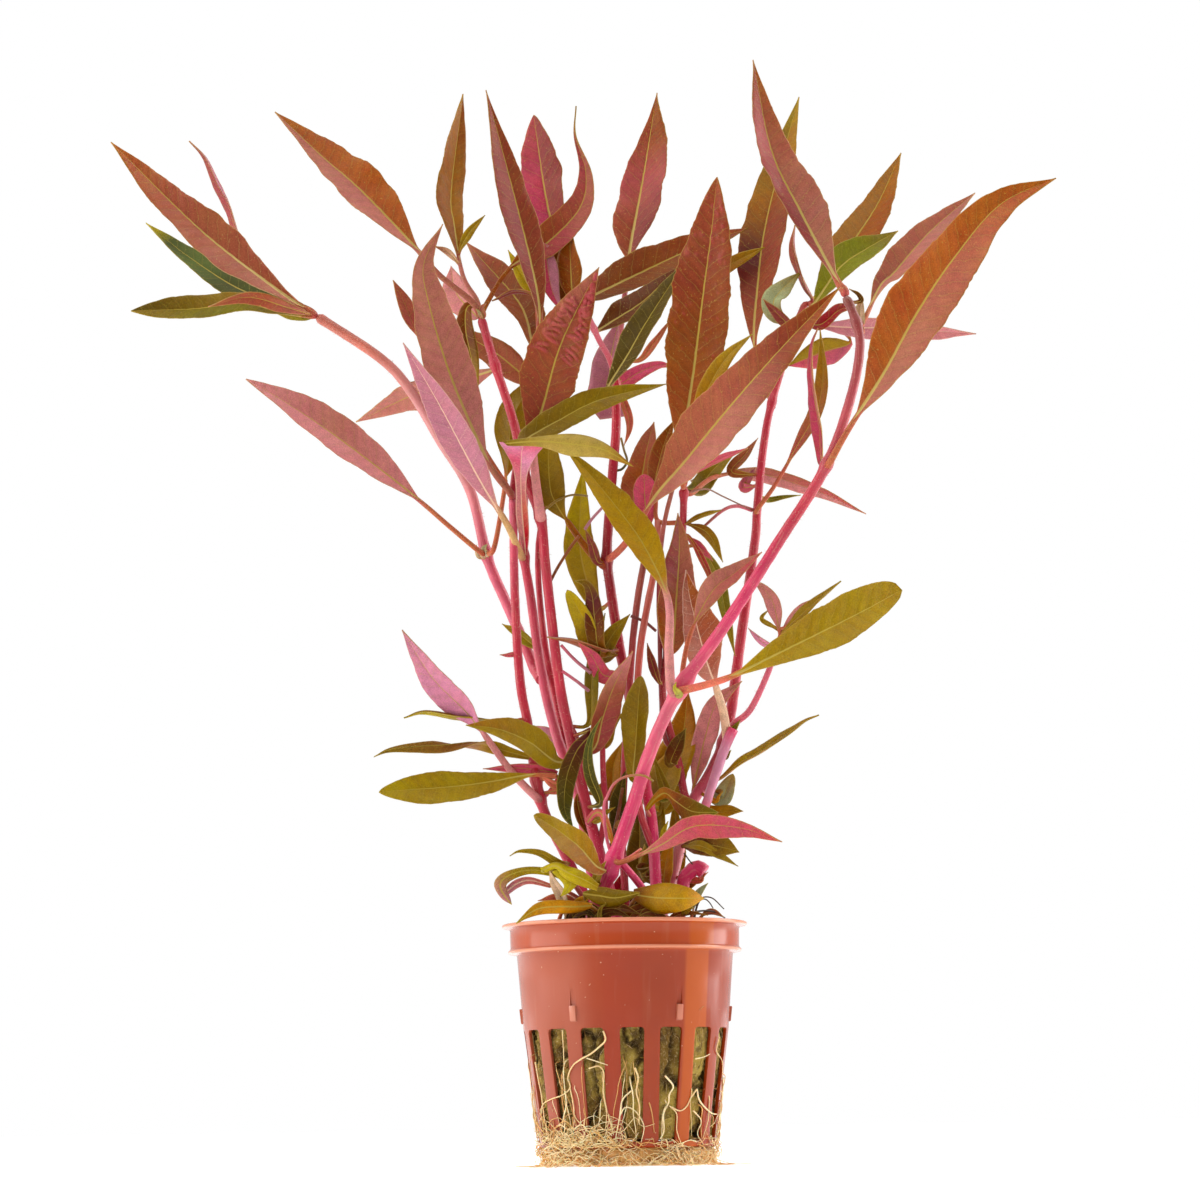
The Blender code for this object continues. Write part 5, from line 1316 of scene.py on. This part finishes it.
def net_pot():
    """The net pot, turned finely, with its slots, floor slots and lugs, and rounded edges."""
    outside = [(outer_radius(0) - 0.3, 0), (outer_radius(0.3), 0.3)]
    outside += [(outer_radius(h), h) for h in (1.0, 6, 12, 18, SLOT_TOP, 30, 36, 41.8)]
    outside += [(23.86, 42.1), (24.1, 42.25), (25.25, 42.3), (25.6, 42.45), (25.72, 42.75),
                (25.6, 43.05),
                (25.25, 43.3), (25.15, 43.7), (25.2, 45.5), (25.2, 47.3), (25.35, 47.75),
                (25.7, 47.95), (26.7, 48.05),
                (26.95, 48.2), (27.0, 48.45), (26.9, 48.72), (26.6, 48.85), (25.2, 48.9)]
    inside = [(24.35, 48.86), (24.1, 48.6), (24.0, 48.0), (24.0, 44.0), (23.8, 43.6), (22.8, 42.6),
              (22.6, 42.2), (outer_radius(SLOT_TOP) - WALL, SLOT_TOP),
              (outer_radius(2.0) - WALL, 2.0), (outer_radius(1.2) - WALL - 0.5, 1.2)]
    profile = outside + inside + [(3.0, 1.2), (3.0, 0)]
    bm = bmesh.new()
    rows = []
    for k in range(POT_SIDES):
        a = 2 * math.pi * k / POT_SIDES
        rows.append([bm.verts.new((r * MM * math.cos(a), r * MM * math.sin(a),
                     (z + POT_FOOT_Z) * MM))
                     for r, z in profile])
    for k in range(POT_SIDES):
        here, there = rows[k], rows[(k + 1) % POT_SIDES]
        for i in range(len(profile)):
            j = (i + 1) % len(profile)
            bm.faces.new((here[i], there[i], there[j], here[j]))
    pot = solid_from(bm, "fine_net_pot")
    bm = bmesh.new()
    for k in range(SLOTS):
        turn = Matrix.Rotation(math.radians(3.0 - 90 + 22.5 * k), 3, "Z")
        foot = outer_radius(SLOT_BOTTOM) * math.sin(math.radians(5.9))
        top = outer_radius(SLOT_TOP) * math.sin(math.radians(6.75))
        outline = [(-foot, SLOT_BOTTOM), (foot, SLOT_BOTTOM)]
        for side, angles in ((1, (0, 30, 60, 90)), (-1, (90, 60, 30, 0))):
            outline += [(side * (top - 0.8 + 0.8 * math.cos(math.radians(a))),
                         SLOT_TOP - 0.8 + 0.8 * math.sin(math.radians(a))) for a in angles]
        prism(bm, *[[turn @ Vector((reach, w, h + POT_FOOT_Z)) for w, h in outline]
                    for reach in (15.0, 27.0)])
    for k in range(FLOOR_SLOTS):
        turn = Matrix.Rotation(math.pi / 4 * (k + 0.5), 3, "Z")
        corners = [(5.0, -1.7), (15.0, -1.7), (15.0, 1.7), (5.0, 1.7)]
        prism(bm, *[[turn @ Vector((x, y, z + POT_FOOT_Z)) for x,
                     y in corners] for z in (-1.0, 2.2)])
    lug_turns = [Matrix.Rotation(math.radians(30.0 - 90 + 60 * k), 3, "Z") for k in range(LUGS)]
    for turn in lug_turns:
        prism(bm, *[[turn @ Vector((outer_radius(h) + reach, y, h + POT_FOOT_Z)) for reach, y in
                     ((deep, -half), (1.5, -half), (1.5, half), (deep, half))]
                    for h, half, deep in ((30.4, 0.7, -0.4), (34.0, 0.5, -0.06))])
    slots = solid_from(bm, "pot_slots")
    bm = bmesh.new()
    for turn in lug_turns:
        prism(bm, *[[turn @ Vector((outer_radius(h) + reach, y, h + POT_FOOT_Z)) for reach, y in
                     ((-0.6, -half), (out, -half), (out, half), (-0.6, half))]
                    for h, out, half in ((27.1, 0.25, 0.7), (27.3, 0.4, 0.72), (30.2, 0.5, 0.72),
                    (30.4, 0.4, 0.68))])
    lugs = solid_from(bm, "pot_lugs")
    for operation, other in (("DIFFERENCE", slots), ("UNION", lugs)):
        cut = pot.modifiers.new("cut", "BOOLEAN")
        cut.operation, cut.object = operation, other
    bevel = pot.modifiers.new("soft", "BEVEL")
    bevel.width, bevel.segments = 0.14 * MM, 2
    bevel.limit_method, bevel.angle_limit = "ANGLE", math.radians(45)
    bpy.context.view_layer.update()
    graph = bpy.context.evaluated_depsgraph_get()
    mesh = bpy.data.meshes.new_from_object(pot.evaluated_get(graph))
    for obj in (pot, slots, lugs):
        bpy.data.objects.remove(obj, do_unlink=True)
    mesh.materials.clear()
    mesh.shade_smooth()
    mesh.set_sharp_from_angle(angle=math.radians(35))
    place(mesh, "net_pot_moulding", pot_material(), ["net_pot"])


def stacked_faces(rows, sides):
    """Faces of a closed stack of rings, whose last two points cap it below and above."""
    faces = []
    for i in range(rows - 1):
        for k in range(sides):
            m = (k + 1) % sides
            faces.append((i * sides + k, i * sides + m, (i + 1) * sides + m, (i + 1) * sides + k))
    low, high, last = rows * sides, rows * sides + 1, (rows - 1) * sides
    for k in range(sides):
        m = (k + 1) % sides
        faces.append((low, m, k))
        faces.append((high, last + k, last + m))
    return faces


def wool():
    """Clumped rock wool in the pot, with a mound on top, and loose fibres on it."""
    pile = Pile()
    body = [(z, outer_radius(z) - 1.5) for z in np.linspace(1.6, 41, 84)]
    rows = body + [(45.5, 21.8)] + [(45.5 + 4.2 * math.sin(a), 21.8 * math.cos(a) ** 0.7)
                                    for a in np.linspace(0.15, 1.5, 26)]
    sides = WOOL_SIDES
    grid = np.zeros((len(rows), sides, 3))
    tints = np.zeros((len(rows), sides, 3))
    pale, khaki, dark = linear(178, 152, 68), linear(120, 90, 32), linear(58, 38, 16)
    for i, (z, r) in enumerate(rows):
        for k in range(sides):
            angle = 2 * math.pi * k / sides
            c, q = math.cos(angle), math.sin(angle)
            at = Vector((c * r * 0.17, q * r * 0.17, z * 0.09))
            clump = noise.fractal(at, 0.9, 2.1, 4)
            fluff = noise.fractal(at * 7, 0.8, 2.1, 3)
            crease = abs(noise.noise(at * 0.9 + Vector((9, 3, 1)))) + 0.06 * fluff
            hollow = smooth((0.10 - crease) * 10)
            rr = r + 1.1 * clump + 0.3 * fluff - 1.8 * hollow + 0.3
            rr = min(rr, r + 0.7) if z < 42 else rr
            grid[i, k] = (c * rr, q * rr, z + POT_FOOT_Z + 0.5 * clump)
            share = smooth(0.5 + 0.9 * noise.noise(at * 0.8 + Vector((3, 7, 2))) + 0.35 * fluff)
            tone = khaki * (1 - share) + pale * share
            # Painted shade: the colour darkens in the creases of the wool.
            tints[i, k] = tone * (1 - 0.75 * hollow) + dark * 0.75 * hollow
    points = np.vstack([grid.reshape(-1, 3), [[0, 0, POT_FOOT_Z + 1.6]],
                        [[0, 0, WOOL_TOP_Z - 0.6]]])
    faces = stacked_faces(len(rows), sides)
    n = len(points)
    tints = np.vstack([tints.reshape(-1, 3), [khaki, khaki]])
    pile.add(points, faces, tints, tints, np.zeros((n, 3)), np.zeros(n))
    draw = random.Random(3)
    for _ in range(WOOL_FIBRES):
        i, k = draw.randrange(len(rows) - 2), draw.randrange(sides)
        start = grid[i, k]
        below = i < len(body)
        out = unit(start * (1, 1, 0)) if below else np.array((0, 0, 1.0))
        swing = np.array((draw.uniform(-1, 1), draw.uniform(-1, 1), draw.uniform(-1, 1.6)))
        swing = unit(swing - out * swing.dot(out) * 0.9)
        long = draw.uniform(0.8, 3.2) * (1 if below else 0.6)
        t = np.linspace(0, 1, 4)[:, None]
        path = start + swing * long * t + out * ((0.35 if below else 0.1) * np.sin(np.pi * t))
        tone = draw.choice(("khaki", "sand", "olive", "umber", "moss", "gold", "rib", "umber"))
        tube(pile, path, np.full(4, draw.uniform(0.025, 0.06)), tone, 3)
    pile.make("rock_wool_clumps", WOOL, "rock_wool", ["rock_wool"])


ROOT_TONES = ("straw", "sand", "sand", "honey", "straw", "gold")
MAT_TONES = ("straw", "sand", "straw", "honey")

# Root threads that the photograph shows against the pot: radius in mm, then pixels
ROOT_LINES = [
    (0.13, (560, 1028), (561, 1050), (561, 1066), (559, 1078)),
    (0.20, (601, 1030), (603, 1039), (596, 1046), (588, 1052), (578, 1057), (570, 1063),
              (565, 1074),
     (567, 1084), (559, 1091), (547, 1095), (539, 1100), (537, 1111)),
    (0.14, (584, 1056), (596, 1060), (605, 1063)),
    (0.16, (586, 1066), (596, 1064), (601, 1071), (600, 1089), (603, 1108), (602, 1124)),
    (0.22, (632, 1066), (635, 1076), (633, 1089), (636, 1103), (635, 1119)),
    (0.17, (628, 1088), (619, 1097), (616, 1113), (611, 1137)),
    (0.20, (662, 1074), (670, 1084), (666, 1092), (665, 1100), (660, 1111), (660, 1127),
              (656, 1135)),
    (0.15, (666, 1103), (673, 1111), (673, 1127), (678, 1142)),
    (0.20, (694, 1087), (688, 1095), (683, 1104), (676, 1108), (668, 1104)),
    (0.20, (694, 1087), (696, 1097), (702, 1105), (710, 1111), (721, 1111), (727, 1108)),
    (0.15, (718, 1036), (715, 1050), (721, 1060), (721, 1076)),
    (0.14, (693, 1058), (702, 1056), (708, 1053)),
    (0.20, (722, 1076), (723, 1089), (718, 1105), (721, 1121), (715, 1132)),
    (0.20, (532, 1058), (535, 1076), (538, 1092), (540, 1111), (543, 1127)),
    (0.20, (562, 1087), (563, 1100), (560, 1113), (558, 1127), (567, 1135)),
    (0.17, (567, 1084), (570, 1100), (572, 1113), (583, 1124)),
    (0.22, (540, 1135), (548, 1127), (556, 1120), (567, 1125), (578, 1120), (586, 1127),
              (596, 1125),
     (607, 1125), (612, 1122)),
    (0.22, (543, 1143), (554, 1135), (567, 1139), (578, 1131), (591, 1141), (604, 1135),
              (616, 1142)),
    (0.15, (616, 1112), (622, 1104), (632, 1108), (640, 1122), (637, 1138)),
    (0.15, (690, 1108), (698, 1118), (694, 1130), (700, 1141)),
]


def thread(pile, path, radius, tone):
    """One thread of root, which thins to its end."""
    tube(pile, smooth_path(path, THREAD_POINTS), np.linspace(radius, radius * 0.5, THREAD_POINTS),
         tone, THREAD_SIDES)


def roots():
    """Threads of root over the slots, a tangle round the foot, the mat and trailing strands."""
    draw = random.Random(17)
    pile = Pile()

    def wall(angle, z, off):
        r = outer_radius(max(z, 0)) + off
        return np.array((r * math.sin(angle), -r * math.cos(angle), z + POT_FOOT_Z))

    for radius, *pixels in ROOT_LINES:
        path = []
        for px, py in pixels:
            z = (PX_POT_FOOT - py) / PX_MM
            off = draw.uniform(0.1, 0.45)
            reach = np.clip((px - PX_POT_AXIS) / PX_MM / (outer_radius(z) + off) * 0.974, -1, 1)
            path.append(wall(math.asin(reach), z, off))
        tube(pile, smooth_path(path, 10 * len(path)),
             np.linspace(radius, radius * 0.6, 10 * len(path)),
             draw.choice(ROOT_TONES[:3]), 6)
    for k in range(WALL_THREADS):
        angle = draw.uniform(0.9, 2 * math.pi - 1.3) if k % 3 else draw.gauss(-0.6, 0.5)
        z = draw.uniform(5, 23) * draw.uniform(0.5, 1)
        lean = draw.uniform(-0.05, 0.05)
        path = [wall(angle, z + 1, -1.6)]
        while z > 0.5:
            path.append(wall(angle, z, draw.uniform(0.0, 0.5)))
            angle += lean + draw.uniform(-0.035, 0.035)
            z -= draw.uniform(2.0, 4.0)
        if len(path) > 2:
            thread(pile, path, draw.uniform(0.08, 0.2), draw.choice(ROOT_TONES))
    for k in range(TANGLE_THREADS):
        angle = draw.gauss(-0.62, 0.24) if k % 3 else draw.uniform(-math.pi, math.pi)
        z = abs(draw.gauss(0, 2.4)) + 0.2
        heading = draw.choice((-1, 1)) * draw.uniform(0.01, 0.11)
        path = []
        for _ in range(6):
            path.append(wall(angle, z, draw.uniform(0.2, 0.9)))
            angle += heading + draw.uniform(-0.05, 0.05)
            z = abs(z + draw.uniform(-2.2, 2.0))
        thread(pile, path, draw.uniform(0.07, 0.15), draw.choice(ROOT_TONES[1:]))
    pile.make("root_threads", ROOT, "roots")

    pile = Pile()
    rings = [(16.6, 0.35), (17.6, 1.0), (18.2, 2.6), (18.4, 3.95)]
    grid = []
    for radius, z in rings:
        for k in range(MAT_SIDES):
            a = 2 * math.pi * k / MAT_SIDES
            bump = 1.6 * noise.noise((radius * math.cos(a) * 0.25, radius * math.sin(a) * 0.25,
        z * 0.6))
            grid.append(((radius + bump) * math.cos(a), (radius + bump) * math.sin(a), z))
    points = np.vstack([grid, [[0, 0, 0.35]], [[0, 0, 3.95]]])
    faces = stacked_faces(len(rings), MAT_SIDES)
    n = len(points)
    tone = np.repeat(COLOURS["gold"][None], n, 0)
    pile.add(points, faces, tone, tone, np.zeros((n, 3)), np.zeros(n))
    for _ in range(MAT_THREADS):
        angle = draw.uniform(0, 2 * math.pi)
        radius = draw.uniform(17.4, 19.0) + 1.4 * noise.noise((math.cos(angle) * 2,
        math.sin(angle) * 2, 5))
        z = draw.uniform(0.35, 4.9)
        heading = draw.choice((-1, 1)) * draw.uniform(0.03, 0.11)
        path = []
        for _ in range(5):
            path.append((radius * math.cos(angle), radius * math.sin(angle), z))
            angle += heading + draw.uniform(-0.03, 0.03)
            radius = min(max(radius + draw.uniform(-0.9, 1.3), 17.0), 20.4)
            z = min(max(z + draw.uniform(-1.6, 1.6), 0.3), 5.8)
        thread(pile, path, draw.uniform(0.07, 0.15), draw.choice(MAT_TONES))
    for k in range(TRAILING_THREADS):
        a = draw.uniform(0, 2 * math.pi)
        far = draw.uniform(19.5, 21.5) if k > 14 else draw.uniform(22, 28)
        out, turn = np.array((math.cos(a), math.sin(a), 0)), np.array((-math.sin(a), math.cos(a),
        0))
        swing = draw.uniform(-5, 5) * (far - 17) / 10
        radius = draw.uniform(0.1, 0.2)
        path = [out * 18.2 + np.array((0, 0, draw.uniform(1.5, 4.0))),
                out * 18.9 + turn * swing * 0.1 + np.array((0, 0, draw.uniform(0.6, 2.0))),
                out * (18.8 + far) / 2 + turn * swing * 0.5 + np.array((0, 0, radius + 0.03)),
                out * far + turn * swing + np.array((0, 0, radius + 0.02))]
        thread(pile, path, radius, draw.choice(ROOT_TONES))
    pile.make("root_mat_threads", ROOT, "roots", ["root_mat"])


net_pot()
wool()
roots()


def area_light(name, place_m, target_m, size, size_y, power):
    data = bpy.data.lights.new(name, "AREA")
    data.shape = "RECTANGLE"
    data.size, data.size_y, data.energy = size, size_y, power
    obj = bpy.data.objects.new(name, data)
    obj.location = place_m
    obj.rotation_euler = (Vector(target_m) - Vector(place_m)).to_track_quat("-Z", "Y").to_euler()
    bpy.context.scene.collection.objects.link(obj)


def studio():
    """Pale floor and surround, soft boxes at both sides and above, and the photograph's camera."""
    mesh = bpy.data.meshes.new("floor")
    size = 12.0
    mesh.from_pydata([(-size, -size, 0), (size, -size, 0), (size, size, 0), (-size, size, 0)], [],
                     [(0, 1, 2, 3)])
    n = Nodes("floor")
    mesh.materials.append(n.finish(Base_Color=(0.75, 0.75, 0.75), Roughness=0.9,
                          Specular_IOR_Level=0.0,
                                   Emission_Color=(1, 1, 1, 1), Emission_Strength=0.55))
    floor = bpy.data.objects.new("floor", mesh)
    bpy.context.scene.collection.objects.link(floor)
    world = bpy.data.worlds.new("surround")
    world.use_nodes = True
    tree = world.node_tree

    def node(kind, *values, **settings):
        made = tree.nodes.new("ShaderNode" + kind)
        for key, value in settings.items():
            setattr(made, key, value)
        for index, value in enumerate(values):
            if isinstance(value, bpy.types.NodeSocket):
                tree.links.new(value, made.inputs[index])
            else:
                made.inputs[index].default_value = value
        return made.outputs

    way = node("SeparateXYZ", node("TexCoord")["Generated"])
    front = node("MapRange", node("Math", way[1], -1.0, operation="MULTIPLY")[0], 0.15, 0.95, 0.0,
                 1.0,
                 interpolation_type="SMOOTHSTEP")[0]
    dim = node("MapRange", way[2], 0.35, 0.9, 0.55, 0.0, interpolation_type="SMOOTHSTEP")[0]
    level = node("Math", 0.78, node("Math", front, dim, operation="MULTIPLY")[0],
                 operation="SUBTRACT")[0]
    shown = node("LightPath")["Is Camera Ray"]
    hidden = node("Math", 1.0, shown, operation="SUBTRACT")[0]
    level = node("Math", level, hidden, shown, operation="MULTIPLY_ADD")[0]
    tree.links.new(level, tree.nodes["Background"].inputs["Strength"])
    tree.nodes["Background"].inputs["Color"].default_value = (1, 1, 1, 1)
    bpy.context.scene.world = world
    bpy.context.scene.view_settings.view_transform = "Standard"
    middle = (0, 0, 0.13)
    area_light("box_right", (0.80, 0.25, 0.35), middle, 0.45, 1.1, 9.0)
    area_light("box_left", (-0.85, -0.10, 0.45), middle, 0.9, 1.1, 9.0)
    area_light("box_above", (0.0, -0.2, 1.1), middle, 0.7, 0.7, 4.0)
    camera = bpy.data.cameras.new("camera")
    camera.sensor_width = SENSOR_MM
    camera.lens = SENSOR_MM * FOCAL_PX / FRAME_PX
    camera.clip_start, camera.clip_end = 0.01, 50
    eye = bpy.data.objects.new("camera", camera)
    bpy.context.scene.collection.objects.link(eye)
    tilt = Matrix.Rotation(math.pi / 2 + EYE_PITCH, 4, "X")
    eye.matrix_world = (Matrix.Translation(Vector(EYE) * MM) @ tilt
                        @ Matrix.Rotation(-EYE_ROLL, 4, "Z"))
    bpy.context.scene.camera = eye


studio()
